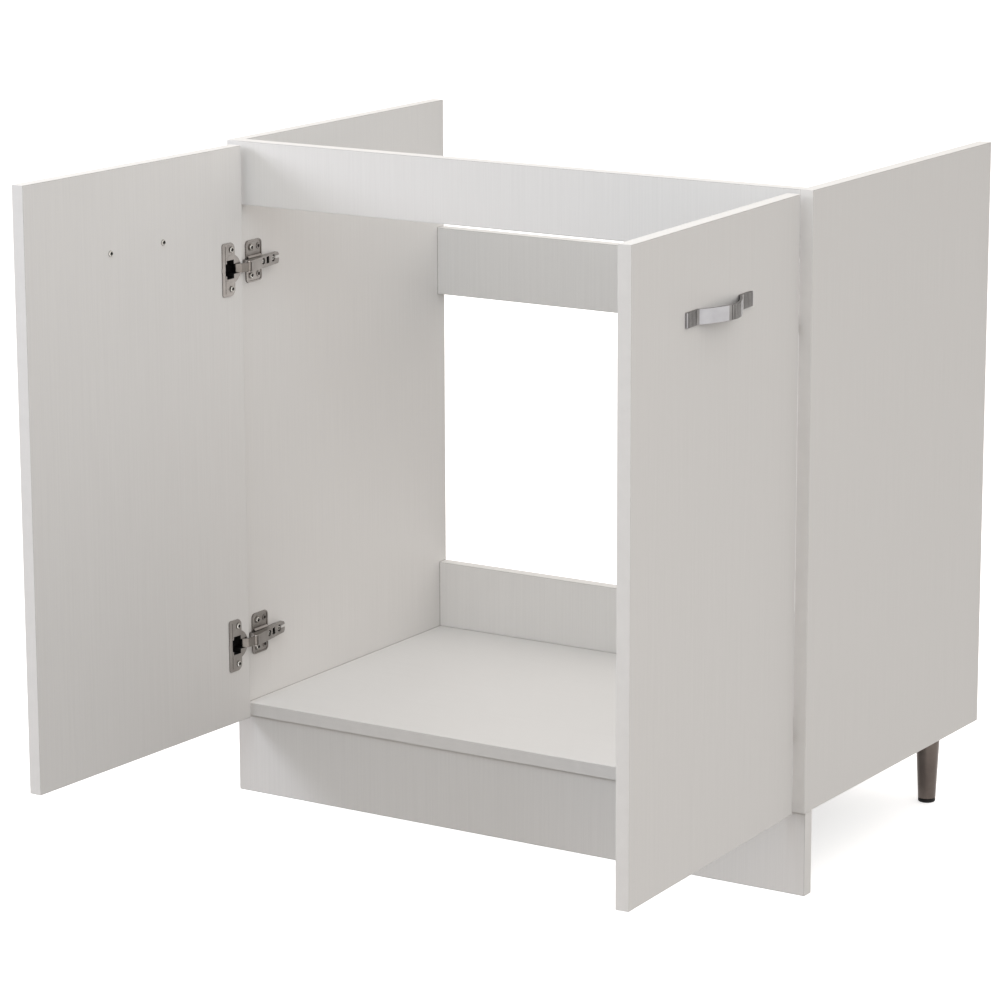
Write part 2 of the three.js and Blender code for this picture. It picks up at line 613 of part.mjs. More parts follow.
piece(cabinet, "left_plinth_bracket", plinthBracket(-BRACKET.fromCentre), STEEL);
piece(cabinet, "right_plinth_bracket", plinthBracket(BRACKET.fromCentre), STEEL);
for (const place of camPlaces()) {
  piece(cabinet, `${place.name}_cam_connector`, camConnector(place), STEEL);
}

export default cabinet;
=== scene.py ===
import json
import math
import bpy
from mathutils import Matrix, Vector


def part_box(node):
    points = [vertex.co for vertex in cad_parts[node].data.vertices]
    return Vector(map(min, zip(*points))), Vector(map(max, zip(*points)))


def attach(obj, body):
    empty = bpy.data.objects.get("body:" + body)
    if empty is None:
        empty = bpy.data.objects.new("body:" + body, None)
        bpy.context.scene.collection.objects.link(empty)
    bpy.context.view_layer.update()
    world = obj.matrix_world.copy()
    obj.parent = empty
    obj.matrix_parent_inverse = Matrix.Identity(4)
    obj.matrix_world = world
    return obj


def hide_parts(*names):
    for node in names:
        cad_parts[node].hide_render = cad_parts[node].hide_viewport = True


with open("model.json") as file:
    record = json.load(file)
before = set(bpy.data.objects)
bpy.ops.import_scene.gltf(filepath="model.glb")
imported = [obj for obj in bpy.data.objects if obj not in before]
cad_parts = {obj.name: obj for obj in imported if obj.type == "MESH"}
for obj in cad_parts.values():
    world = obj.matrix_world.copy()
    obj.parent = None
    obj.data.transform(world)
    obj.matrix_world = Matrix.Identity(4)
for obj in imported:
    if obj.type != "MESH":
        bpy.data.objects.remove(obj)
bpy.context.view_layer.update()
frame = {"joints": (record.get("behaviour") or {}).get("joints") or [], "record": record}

# Sink base cabinet in white melamine-faced board, both doors open a little past a right angle.
# Shapes are drawn in millimetres and scaled to metres when they are placed in the frame.
from types import SimpleNamespace as Values

import bmesh
import bpy
from mathutils import Matrix, Vector

MM = 0.001
SHARP_EDGE = math.radians(35)
FLAT_ANGLE = math.radians(0.5)  # faces that turn less than this become one
NEAR = 0.03  # points closer than this become one
SIDES = ("left", "right")
LEVELS = ("lower", "upper")
ENDS = (-1, 1)
BODIES = frame["record"]["behaviour"]["bodies"]
BODY_OF = {node: body for body, nodes in BODIES.items() for node in nodes}


def box_mm(node):
    """Lowest and highest corner of a CAD node, in millimetres."""
    low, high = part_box(node)
    return low / MM, high / MM


def round_node(node):
    """Bottom, top and radius of an upright round CAD node, and its place on the floor."""
    low, high = box_mm(node)
    centre = (low + high) / 2
    return low.z, high.z, (high.x - low.x) / 2, Matrix.Translation((centre.x, centre.y, 0))


def joint(name):
    return next(entry for entry in frame["joints"] if entry["name"] == name)


# --- sizes and places that follow from the frame ---
SIDE_LOW, SIDE_HIGH = box_mm("left_side_panel")
INNER_X = SIDE_HIGH.x
FRONT_Y = SIDE_LOW.y
BACK_Y = SIDE_HIGH.y
BOARD = SIDE_HIGH.x - SIDE_LOW.x
PLINTH_TOP = SIDE_LOW.z
HINGE_Z = {level: sum(c.z for c in box_mm(f"left_{level}_hinge_arm")) / 2 for level in LEVELS}
DOOR_LOW, DOOR_HIGH = box_mm("left_door_panel")
DOOR_HEIGHT = DOOR_HIGH.z - DOOR_LOW.z
DOOR_AXIS = Vector(joint("left_door_swing")["pos_m"]) / MM
DOOR_ANGLE = joint("left_door_swing")["range_deg"][1]
PIVOT = Vector(joint("left_link_swing")["pos_m"]) / MM
PIVOT_U = PIVOT.x - INNER_X

# --- sizes of the pieces ---
CLEAR = 0.3  # fitting gap between pieces
MARGIN = 0.1  # of a painted area beyond its own faces
OVERCUT = 1  # how far a cutting shape runs past the face it opens
FACETS = Values(leg=72, cup=64, disc=48, eye=40, rod=32, small_screw=28, pin=24)
EDGE = Values(band=0.8, seam=0.03, face_round=0.15, band_round=0.36)

DOOR_WIDTH = 396
DOOR_OVERLAY = 13.5  # of a closed door over the side panel's front edge
DOOR_BACK_GAP = 3

# Hinge cup: x from the door's hinge edge, z from the hinge's centre, depth from the door's back face.
CUP = Values(x=22.5, radius=17.5, depth=12.2, floor=0.9, wall=1.2)
LIP = Values(radius=18, under=0.4, slant=0.3, drop=0.1, top=1)
FLANGE = Values(near=16.2, far=40, half=32.5, low=0.3, face=1.05, high=1.3)
FLANGE_CORNERS = (8, 3, 3, 8)
MOUTH = Values(low=18.5, high=31.8, half=11.5)
MOUTH_SLOT = Values(low=7.6, half=6.2)  # for the link
MOUTH_NOTCH = Values(high=34, half=7.5)
LIP_CUT = Values(x=30.2, half=13.5)  # beyond that x the lip doesn't stand above the flange
GROOVE = Values(x=34.2, half=29, width=0.9, depth=0.4)
BED = Values(edge=0.3, lift=0.1, thickness=1, side=0.2)
BUFFER = Values(x=25.2, z=-8.5, radius=2.7, top=-4.3, dimple=1.2, dimple_depth=1.4)
CUP_SCREW = Values(x=23, z=24, seat=1.6, length=9, hole=1.9)

# Hinge arm, link and plate: u from the side panel's inner face, y of the frame, z from the hinge's centre.
ARM = Values(face=18.8, fall=11, front=PIVOT.y + 4.6, back=PIVOT.y + 75, half=7, wall=1.3)
ARM_SKIRT = Values(front=8, back=5.5, kink=12, kink_rise=1.8)
ARM_NOSE = Values(ahead=0.7, radius=2.4)
ARM_LIP = 1.8  # how far the arm's roof reaches over the slot of its fork
ARM_OVERLAP = 1  # how far the fork's cheeks run into the channel
ARM_CHAMFER = Values(y=4.5, z=5)
EYE = Values(arm=3.1, link=2.5, pin=1.2, pin_end=0.35)
ARM_SCREW_Y = {"adjuster": 19, "slot": 30.5, "clamp": 45.5}
ARM_SCREW_Z = 1.2
ARM_SCREW_RADIUS = {"adjuster": 2.2, "clamp": 2.7}
ARM_SCREW = Values(sink=0.7, edge=0.4, edge_depth=0.3, cross=0.62, cross_half=0.5, cross_depth=1.8)
ARM_WINDOW_RADIUS = {"adjuster": 3.9, "clamp": 4.4}
ARM_WINDOW = Values(depth=4, rise=3)
ARM_SLOT = Values(y=3, z=4.2, tooth=0.55, tooth_pitch=2.7, tooth_y=3.6)
TAIL_SLOT = Values(half=1.9, length=20, depth=5)
ARM_POCKET = 4.5  # depth of the recesses under the arm's openings
POCKET_FRONT = 14  # the recesses lie beyond this y
LINK = Values(knee=(-1.1, -14.5), tip=(-7.1, -17.2), half=5.4, thickness=2.2)
PLATE = Values(front=0.5, back=32.5, half=25.75, thickness=2, round=5, rim=1.5, sunk=0.9)
PLATE_RISE = 1.4  # wings and screws above the arm's centre line
PLATE_SCREW = Values(y=10.5, z=17.25, length=11, boss=4.3, hole=1.9)
PLATE_SPARE = Values(y=26, boss=3.6, hole=2.3, pilot=2.2, pilot_depth=9)
PLATE_BODY = Values(low=0.4, front=-5, back=53, half=5.2, nose=1.5)
PLATE_FOOT = Values(low=0.8, high=4.6, half=8.6, top_half=6.6, inset=2)

SCREW = Values(shank=1.6, pitch=1.2, thread=0.3, tip=0.2, plain=1.8, head=3.4, edge=0.7)
CROWN = Values(height=1.8, steps=5)
CROSS = Values(reach=2.3, half=0.55, depth=1.2)

HANDLE = Values(half=77.5, height=16.5, strap=2.6, out=22.5, foot=50, crest=14, z=618, end_round=0.4)
HANDLE_BOLT = Values(x=48, shank=2, hole=2.3, thread=2.2)
RIB = Values(first=1.4, last=1.5, pitch=3.1, width=1.5, depth=0.8, slant=0.2)
CREST = Values(proud=0.45, drop=2.2, margin=0.8, step=(0.9, 0.2))  # its ends drop toward the door
FLANK = Values(steps=18, swell=1.5, skew=0.35, gap=1.6, thick=0.92, shift=1.35)
ARCH_X = range(-9, 10, 3)  # points of the crest's inner side

CAM_NODES = [f"{side}_{end}_cam_connector" for side in SIDES for end in ("front", "rear")]
CAM_RING = Values(inner=2, middle=1.6, outer=1.2, edge=0.4)  # inward from the rim
CAM_CROSS = Values(inset=2.6, half=0.7, depth=1.4)

LEG = Values(wall=1.5, insert=8, bore=4.3, rim=0.5, top_edge=0.6, top_rim=0.3)
FOOT = Values(stem=4, stem_edge=(0.6, 1), under=(1.4, 0.6), side=(0.35, 1.2), gap=0.1)
FOOT_TOP = Values(inset=0.8, drop=0.9)
LEG_PLATE = Values(boss=2.5, boss_foot=3.2, boss_depth=0.4, rim=1, rim_edge=0.8, screw_inset=5)
LEG_SCREW = Values(profile=((0, 0), (2.6, 0), (2.2, 0.7), (1.2, 1.1), (0, 1.1)), cross=(1.4, 0.35, 0.5))
BRACKET = Values(thickness=2, round=5, square=0.2, step=0.1, screw_x=9, screw_shift=4)
BRACKET_SCREW = Values(length=8, hole=2.2)

# Width of the rounded edges.
SOFT = Values(cup=0.18, plastic=0.2, arm=0.25, plate=0.22, screw=0.08, arm_screw=0.1, cam=0.15, handle=0.2,
              bracket=0.3)
SOFT_STEPS = 2

# --- colours and light ---
WHITE = (0.712, 0.707, 0.697), (0.74, 0.735, 0.725)
SEAM_SHADE = Values(reach=0.0014, color=(0.2, 0.18, 0.16))  # painted shade: a dark line where boards meet
# colour of the painted shade in corners, seams and bores
CORNER_SHADE = (0.05, 0.045, 0.04)
NOISE_SPAN = (0.3, 0.7)  # part of a noise's values over which tones and roughness run
CHIP_SPAN = (0.38, 0.62)
OPEN_SPAN = (0.3, 0.85)  # openness over which the painted shade fades out

SKY = Values(above=1.12, below=0.0, color=(1, 0.95, 0.905), span=0.3)
PALE = (0.93,) * 3, (0.95,) * 3
FLOOR_GLOW = 0.6
SHADE = Values(x=-0.12, y=0.22, outer=0.38, inner=0.2, flat=1.8)  # painted shadow: dim floor under the cabinet
LAMPS = (
    ("key", (-1.97, -1.48, 1.5), 0.9, 20, (0.88, 0.9, 1)),
    ("top front", (0.2, -1.8, 2.6), 1.6, 12.5, (0.68, 0.86, 1)),
    ("right fill", (3.4, -1.6, 2.0), 2.2, 16, (0.8, 0.92, 1)),
    ("low front", (2.3, -2.7, 0.3), 1.6, 15.5, (1, 0.83, 0.72)),
)
LAMP_AIM = Vector((0, 0.1, 0.4))
CAMERA = Values(place=(2.43711, -3.8804, 1.47428), lens=143.13, sensor=36, far=200)
AIM = Values(yaw=32.31, pitch=-12.98, roll=-0.18)  # the yaw is to the left of straight along +Y


# --- shapes ---
ALONG_X = Matrix.Rotation(math.radians(90), 4, "Y")
ALONG_Y = Matrix.Rotation(math.radians(-90), 4, "X")
ALONG_MINUS_Y = Matrix.Rotation(math.radians(90), 4, "X")
UPSIDE_DOWN = Matrix.Rotation(math.pi, 4, "X")
INTO_SIDE = Matrix.Rotation(math.radians(-90), 4, "Y")
OUTWARD = Matrix.Rotation(math.pi, 4, "Z")
WORLD = Matrix.Identity(4)


def at(x, y, z):
    return Matrix.Translation((x, y, z))


def moved(shape, *matrices):
    for matrix in matrices:
        shape.transform(matrix)
    return shape


def block(low, high, rounding=0.0, steps=2):
    shape = bmesh.new()
    bmesh.ops.create_cube(shape, size=1)
    for vertex in shape.verts:
        vertex.co = Vector(low[i] if vertex.co[i] < 0 else high[i] for i in range(3))
    if rounding:
        bmesh.ops.bevel(
            shape, geom=shape.edges[:], offset=rounding, segments=steps, profile=0.5, affect="EDGES"
        )
    return shape


def prism(outline, low, high, axis=2):
    """Outline in the two other axes, in their order, from low to high along the axis."""
    shape = bmesh.new()

    def corner(point, along):
        place = list(point)
        place.insert(axis, along)
        return shape.verts.new(place)

    bottom = [corner(point, low) for point in outline]
    top = [corner(point, high) for point in outline]
    shape.faces.new(bottom)
    shape.faces.new(top)
    for i in range(len(outline)):
        j = (i + 1) % len(outline)
        shape.faces.new((bottom[i], bottom[j], top[j], top[i]))
    bmesh.ops.recalc_face_normals(shape, faces=shape.faces[:])
    return shape


def lathe(profile, facets=FACETS.disc, ring=False):
    """Solid of revolution about Z of (radius, z) points, from axis to axis or closed as a ring."""
    shape = bmesh.new()
    loops = []
    for radius, z in profile:
        count = facets if radius else 1
        turns = [2 * math.pi * i / facets for i in range(count)]
        loops.append([shape.verts.new((radius * math.cos(t), radius * math.sin(t), z)) for t in turns])
    following = loops[1:] + loops[:1] if ring else loops[1:]
    for a, b in zip(loops, following):
        for i in range(facets):
            j = (i + 1) % facets
            corners = (a[i % len(a)], a[j % len(a)], b[j % len(b)], b[i % len(b)])
            corners = list(dict.fromkeys(corners))
            if len(corners) > 2:
                shape.faces.new(corners)
    bmesh.ops.recalc_face_normals(shape, faces=shape.faces[:])
    return shape


def rod(radius, low, high, facets=FACETS.rod):
    return lathe([(0, low), (radius, low), (radius, high), (0, high)], facets)


def cross_cutters(reach, half, low, high):
    return (
        block((-reach, -half, low), (reach, half, high)),
        block((-half, -reach, low), (half, reach, high)),
    )


def arc(x, y, radius, start, end, steps=8):
    angles = [math.radians(start + (end - start) * i / steps) for i in range(steps + 1)]
    return [(x + radius * math.cos(a), y + radius * math.sin(a)) for a in angles]


def rounded_outline(x0, y0, x1, y1, radii):
    """Corners in the order (x0, y0), (x1, y0), (x1, y1), (x0, y1)."""
    a, b, c, d = radii
    return (
        arc(x0 + a, y0 + a, a, 180, 270)
        + arc(x1 - b, y0 + b, b, 270, 360)
        + arc(x1 - c, y1 - c, c, 0, 90)
        + arc(x0 + d, y1 - d, d, 90, 180)
    )


def add_object(name, data):
    thing = bpy.data.objects.new(name, data)
    bpy.context.scene.collection.objects.link(thing)
    return thing


def boolean(shape, other, operation):
    """Exact boolean of two shapes, which it uses up."""
    pair = []
    for source in (shape, other):
        mesh = bpy.data.meshes.new("shape")
        source.to_mesh(mesh)
        source.free()
        pair.append(add_object("shape", mesh))
    modifier = pair[0].modifiers.new("boolean", "BOOLEAN")
    modifier.operation = operation
    modifier.solver = "EXACT"
    modifier.object = pair[1]
    graph = bpy.context.evaluated_depsgraph_get()
    result = bmesh.new()
    result.from_mesh(pair[0].evaluated_get(graph).data)
    bmesh.ops.holes_fill(result, edges=[edge for edge in result.edges if edge.is_boundary], sides=4)
    for thing in pair:
        mesh = thing.data
        bpy.data.objects.remove(thing)
        bpy.data.meshes.remove(mesh)
    return result


def fuse(shape, *others):
    for other in others:
        shape = boolean(shape, other, "UNION")
    return shape


def carve(shape, *others):
    for other in others:
        shape = boolean(shape, other, "DIFFERENCE")
    return shape


def gather(*shapes):
    """Separate closed shells in one mesh."""
    whole = bmesh.new()
    for shape in shapes:
        mesh = bpy.data.meshes.new("shell")
        shape.to_mesh(mesh)
        shape.free()
        whole.from_mesh(mesh)
        bpy.data.meshes.remove(mesh)
    return whole


def paint(shape, index, test=None):
    """Gives a material index to the faces whose centre and normal pass the test, or to all."""
    for face in shape.faces:
        if test is None or test(face.calc_center_median(), face.normal):
            face.material_index = index
    return shape


def clean(shape):
    """Merges the close points and flat neighbours left by booleans, which spoil rounded edges."""
    verts, edges = shape.verts, shape.edges
    bmesh.ops.remove_doubles(shape, verts=verts[:], dist=NEAR)
    bmesh.ops.dissolve_degenerate(shape, edges=edges[:], dist=NEAR)
    bmesh.ops.dissolve_limit(
        shape, angle_limit=FLAT_ANGLE, verts=verts[:], edges=edges[:], delimit={"MATERIAL"}
    )


# --- placing pieces ---
def place_piece(name, body, shape, place, finish, rounding=0.0):
    clean(shape)
    shape.transform(Matrix.Diagonal((MM, MM, MM, 1)) @ place)
    if place.determinant() < 0:
        bmesh.ops.reverse_faces(shape, faces=shape.faces[:])
    mesh = bpy.data.meshes.new(name)
    shape.to_mesh(mesh)
    shape.free()
    materials, slot = finish
    for material in materials:
        mesh.materials.append(material)
    mesh.shade_smooth()
    mesh.set_sharp_from_angle(angle=SHARP_EDGE)
    piece = add_object(name, mesh)
    if rounding:
        bevel = piece.modifiers.new("rounded edges", "BEVEL")
        bevel.width = rounding * MM
        bevel.segments = SOFT_STEPS
        bevel.limit_method = "ANGLE"
        bevel.angle_limit = SHARP_EDGE
    weighting = piece.modifiers.new("weighted normals", "WEIGHTED_NORMAL")
    weighting.keep_sharp = not rounding
    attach(piece, body)
    return piece


def stand_in(node, shape, place, finish, rounding=0.0):
    """A detailed piece in the place of a CAD node."""
    piece = place_piece(f"{node}_piece", BODY_OF[node], shape, place, finish, rounding)
    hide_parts(node)


def mirrored(side):
    return Matrix.Diagonal((-1 if side == "right" else 1, 1, 1, 1))


def door_place(side, z=0.0):
    """Closed door: x from the hinge edge, y from the back face toward the cabinet, z from the bottom."""
    turn = Matrix.Rotation(math.radians(-DOOR_ANGLE), 4, "Z")
    axis_u = DOOR_AXIS.x - INNER_X
    closed = at(-DOOR_OVERLAY - axis_u, FRONT_Y - DOOR_BACK_GAP - DOOR_AXIS.y, z)
    return mirrored(side) @ at(DOOR_AXIS.x, DOOR_AXIS.y, DOOR_LOW.z) @ turn @ closed


# --- materials ---
def new_material(name, roughness, metallic=0.0):
    material = bpy.data.materials.new(name)
    material.use_nodes = True
    tree = material.node_tree
    shader = tree.nodes["Principled BSDF"]
    shader.inputs["Roughness"].default_value = roughness
    shader.inputs["Metallic"].default_value = metallic
    return material, tree, shader


def fill(node, inputs):
    """Gives each named input its value, or a link where that is another node's output."""
    for name, value in inputs.items():
        if isinstance(value, bpy.types.NodeSocket):
            node.id_data.links.new(value, node.inputs[name])
        else:
            node.inputs[name].default_value = value


def add_node(tree, kind, **inputs):
    """New shader node; an underscore in an input's name stands for a space."""
    node = tree.nodes.new(f"ShaderNode{kind}")
    fill(node, {name.replace("_", " "): value for name, value in inputs.items()})
    return node


def noise(tree, scale, stretch=(1, 1, 1), detail=4.0):
    place = add_node(tree, "TexCoord").outputs["Object"]
    mapping = add_node(tree, "Mapping", Vector=place, Scale=stretch)
    texture = add_node(tree, "TexNoise", Vector=mapping.outputs["Vector"], Scale=scale, Detail=detail)
    return texture.outputs["Fac"]


def spread(tree, value, span, low, high):
    """Runs from low to high while the value runs over the span."""
    ends = {"From_Min": span[0], "From_Max": span[1], "To_Min": low, "To_Max": high}
    return add_node(tree, "MapRange", Value=value, **ends).outputs["Result"]


def tone(tree, factor, dark, light, span=NOISE_SPAN):
    """Colour that runs from dark to light while the factor runs over the span."""
    ramp = add_node(tree, "ValToRGB", Fac=factor)
    for element, position, color in zip(ramp.color_ramp.elements, span, (dark, light)):
        element.position = position
        element.color = (*color, 1)
    return ramp.outputs["Color"]


def shaded_in_corners(tree, color, reach, painted_shade=CORNER_SHADE):
    """Colour that turns to painted shade where other faces stand within reach."""
    # painted shade: the colour darkens where ambient occlusion finds other faces near
    openness = add_node(tree, "AmbientOcclusion", Distance=reach)
    openness.samples = 4
    factor = spread(tree, openness.outputs["AO"], OPEN_SPAN, 0, 1)
    mix = add_node(tree, "Mix")
    mix.data_type = "RGBA"
    fill(mix, {"Factor": factor, "A": (*painted_shade, 1), "B": color})
    return mix.outputs["Result"]


def give_color(shader, color):
    fill(shader, {"Base Color": color})


def vary_roughness(shader, factor, low, high):
    fill(shader, {"Roughness": spread(shader.id_data, factor, NOISE_SPAN, low, high)})


def relief(shader, height, distance):
    bump = add_node(shader.id_data, "Bump", Height=height, Distance=distance)
    fill(shader, {"Normal": bump.outputs["Normal"]})


def board_face(name, stretch):
    """White melamine with a faint pressed grain, long where the stretch is small."""
    material, tree, shader = new_material(name, 0.5)
    grain = noise(tree, 1, stretch, 6)
    white = tone(tree, grain, *WHITE)
    # painted shade darkens the white where boards meet
    give_color(shader, shaded_in_corners(tree, white, SEAM_SHADE.reach, SEAM_SHADE.color))
    vary_roughness(shader, grain, 0.46, 0.58)
    relief(shader, grain, 0.00004)
    shader.inputs["Specular IOR Level"].default_value = 0.35
    return material


def edge_band():
    material, tree, shader = new_material("white edge band", 0.45)
    give_color(shader, tone(tree, noise(tree, 60), *WHITE))
    relief(shader, noise(tree, 2600), 0.00002)
    return material


def chipboard():
    material, tree, shader = new_material("chipboard", 0.9)
    chips = noise(tree, 420, (1, 1, 1), 8)
    brown = tone(tree, chips, (0.27, 0.18, 0.1), (0.62, 0.47, 0.31), CHIP_SPAN)
    # painted shade darkens the chipboard inside bores and corners
    give_color(shader, shaded_in_corners(tree, brown, 0.006))
    relief(shader, chips, 0.0006)
    return material


def metal(name, dark, light, low, high, painted_shade=0.0):
    """Metal whose tone and gloss vary, with painted shade that far out from its corners."""
    material, tree, shader = new_material(name, low, 1.0)
    brushing = noise(tree, 900, (1, 1, 1), 3)
    color = tone(tree, noise(tree, 45), dark, light)
    give_color(shader, shaded_in_corners(tree, color, painted_shade) if painted_shade else color)
    vary_roughness(shader, brushing, low, high)
    relief(shader, brushing, 0.00001)
    return material


def turned_metal(name, dark, light, low, high):
    """Metal with fine rings about Z, which stretch its highlights along Z."""
    material, tree, shader = new_material(name, low, 1.0)
    rings = noise(tree, 40, (0.4, 0.4, 60), 5)
    give_color(shader, tone(tree, noise(tree, 30), dark, light))
    vary_roughness(shader, rings, low, high)
    relief(shader, rings, 0.000004)
    tangent = add_node(tree, "Tangent")
    tangent.direction_type = "RADIAL"
    tangent.axis = "Z"
    fill(shader, {"Tangent": tangent.outputs["Tangent"]})
    shader.inputs["Anisotropic"].default_value = 0.85
    shader.inputs["Anisotropic Rotation"].default_value = 0.25
    return material


def plastic(name, color):
    material, tree, shader = new_material(name, 0.5)
    dark = tuple(0.7 * c for c in color)
    give_color(shader, tone(tree, noise(tree, 140), dark, color))
    relief(shader, noise(tree, 2200), 0.00003)
    shader.inputs["Specular IOR Level"].default_value = 0.2
    return material


UPRIGHT_FACE = board_face("white board upright grain", (560, 560, 8))
LEVEL_FACE = board_face("white board level grain", (8, 560, 560))
BAND = edge_band()
CHIPS = chipboard()
# a last number gives painted shade that reaches that far out from the metal's corners
HINGE_STEEL = metal("nickel plated steel", (0.3, 0.28, 0.265), (0.38, 0.36, 0.345), 0.28, 0.42, 0.002)
LINK_STEEL = metal("nickel plated strap", (0.21, 0.192, 0.175), (0.26, 0.242, 0.224), 0.42, 0.52, 0.001)
SCREW_STEEL = metal("zinc plated steel", (0.5, 0.49, 0.46), (0.62, 0.61, 0.58), 0.22, 0.34, 0.0015)
HANDLE_BRIGHT = metal("satin bright nickel", (0.31, 0.31, 0.325), (0.37, 0.37, 0.385), 0.3, 0.4)
# painted shade: a darker copy of the handle's nickel for its ribs and the strap's upper and lower faces
HANDLE_SHADED = metal("ribs and edges in painted shade", (0.14, 0.137, 0.135), (0.22, 0.217, 0.215), 0.3, 0.4, 0.003)
LEG_NICKEL = turned_metal("dark turned nickel", (0.082, 0.068, 0.061), (0.118, 0.1, 0.09), 0.16, 0.24)
# black plastic of the feet and cup parts, also used as painted shade in pockets and screw recesses
BLACK_PLASTIC_AND_SHADE = plastic("black plastic", (0.009, 0.009, 0.009))

# Finishes: the materials that a piece is painted with, and its slot.
UPRIGHT_BOARD = (UPRIGHT_FACE, BAND, CHIPS), "white_board"
LEVEL_BOARD = (LEVEL_FACE, BAND, CHIPS), "white_board"
HINGE_FINISH = (HINGE_STEEL, BLACK_PLASTIC_AND_SHADE), "hinge_steel"
LINK_FINISH = (LINK_STEEL,), "hinge_steel"
PLAIN_STEEL = (HINGE_STEEL,), "hinge_steel"
SCREW_FINISH = (SCREW_STEEL, BLACK_PLASTIC_AND_SHADE), "screw_steel"
PLAIN_ZINC = (SCREW_STEEL,), "screw_steel"
HANDLE_FINISH = (HANDLE_BRIGHT, HANDLE_SHADED), "handle_nickel"
LEG_FINISH = (LEG_NICKEL,), "dark_nickel"
PLASTIC = (BLACK_PLASTIC_AND_SHADE,), "black_plastic"


# --- boards ---
LEFT, RIGHT, FRONT, BACK, DOWN, UP = (0, -1), (0, 1), (1, -1), (1, 1), (2, -1), (2, 1)


def board(low, high, thin, banded, bores=()):
    """Board, thin along that axis, with an edge band on each (axis, side); the first is full length."""
    core_low, core_high = Vector(low), Vector(high)
    strips = []
    for axis, side in banded:
        strip_low, strip_high = core_low.copy(), core_high.copy()
        strip_low[thin], strip_high[thin] = low[thin], high[thin]
        if side < 0:
            strip_high[axis] = strip_low[axis] + EDGE.band - EDGE.seam
            core_low[axis] += EDGE.band
        else:
            strip_low[axis] = strip_high[axis] - EDGE.band + EDGE.seam
            core_high[axis] -= EDGE.band
        strip = block(strip_low, strip_high, EDGE.band_round)
        strips.append(paint(strip, 1))
    core = carve(block(core_low, core_high, EDGE.face_round, 1), *bores)
    paint(core, 0)
    paint(core, 2, lambda centre, normal: abs(normal[thin]) < 0.5)
    return gather(core, *strips)


def bore(turn, radius, depth, x, y, z):
    """Round hole cutter that starts just outside a face and runs inward along the turned Z axis."""
    return moved(rod(radius, -OVERCUT, depth, FACETS.pin), turn, at(x, y, z))


def plate_bores():
    """Holes in a side panel for the mounting plates' screws, and the spare holes behind them."""
    bores = []
    spare = PLATE_SPARE
    depth = PLATE_SCREW.length - PLATE.thickness + CLEAR
    for z in HINGE_Z.values():
        for end in ENDS:
            height = z + PLATE_RISE + end * PLATE_SCREW.z
            bores.append(bore(INTO_SIDE, SCREW.shank + CLEAR, depth, 0, PLATE_SCREW.y, height))
            bores.append(bore(INTO_SIDE, spare.pilot, spare.pilot_depth, 0, spare.y, height))
    return bores


def side_boards():
    low = (-BOARD, FRONT_Y, PLINTH_TOP)
    high = (0, BACK_Y, SIDE_HIGH.z)
    for side in SIDES:
        shape = board(low, high, 0, (FRONT, BACK, UP), plate_bores())
        place = mirrored(side) @ at(INNER_X, 0, 0)
        stand_in(f"{side}_side_panel", shape, place, UPRIGHT_BOARD)


def front_boards():
    """Rails and plinth board, which stand upright across the cabinet."""
    for node, banded in (
        ("front_top_rail", (UP, DOWN)),
        ("rear_top_rail", (UP, DOWN)),
        ("rear_bottom_rail", (UP, DOWN)),
        ("plinth_board", (UP, DOWN, LEFT, RIGHT)),
    ):
        low, high = box_mm(node)
        stand_in(node, board(low, high, 1, banded), WORLD, UPRIGHT_BOARD)


def bottom_board():
    low, high = box_mm("bottom_panel")
    pockets = []
    for node in CAM_NODES:
        cam_low, cam_high, radius, place = round_node(node)
        pockets.append(moved(rod(radius + CLEAR, cam_low - OVERCUT, cam_high + CLEAR), place))
    stand_in("bottom_panel", board(low, high, 2, (FRONT, BACK), pockets), WORLD, LEVEL_BOARD)


def cams():
    for node in CAM_NODES:
        low, high, radius, place = round_node(node)
        disc = lathe([
            (0, low),
            (radius - CAM_RING.inner, low),
            (radius - CAM_RING.middle, low + CAM_RING.edge),
            (radius - CAM_RING.outer, low),
            (radius - CAM_RING.edge, low),
            (radius, low + CAM_RING.edge),
            (radius, high),
            (0, high),
        ])
        slots = cross_cutters(radius - CAM_CROSS.inset, CAM_CROSS.half, low - OVERCUT, low + CAM_CROSS.depth)
        stand_in(node, carve(disc, *slots), place, PLAIN_ZINC, SOFT.cam)


def door_bores():
    """Holes in a door's back face for the cups and their screws, and through it for the handle's screws."""
    bores = []
    for z in HINGE_Z.values():
        height = z - DOOR_LOW.z
        cup = rod(CUP.radius + CLEAR, -OVERCUT, CUP.depth + CLEAR, FACETS.cup)
        bores.append(moved(cup, ALONG_MINUS_Y, at(CUP.x, 0, height)))
        for end in ENDS:
            depth = CUP_SCREW.length + CLEAR
            place = (CUP_SCREW.x, 0, height + end * CUP_SCREW.z)
            bores.append(bore(ALONG_MINUS_Y, SCREW.shank + CLEAR, depth, *place))
    for end in ENDS:
        place = (DOOR_WIDTH / 2 + end * HANDLE_BOLT.x, 0, HANDLE.z)
        bores.append(bore(ALONG_MINUS_Y, HANDLE_BOLT.hole, BOARD + OVERCUT, *place))
    return bores


def door_boards():
    low, high = (0, -BOARD, 0), (DOOR_WIDTH, 0, DOOR_HEIGHT)
    for side in SIDES:
        shape = board(low, high, 1, (LEFT, RIGHT, DOWN, UP), door_bores())
        stand_in(f"{side}_door_panel", shape, door_place(side), UPRIGHT_BOARD)


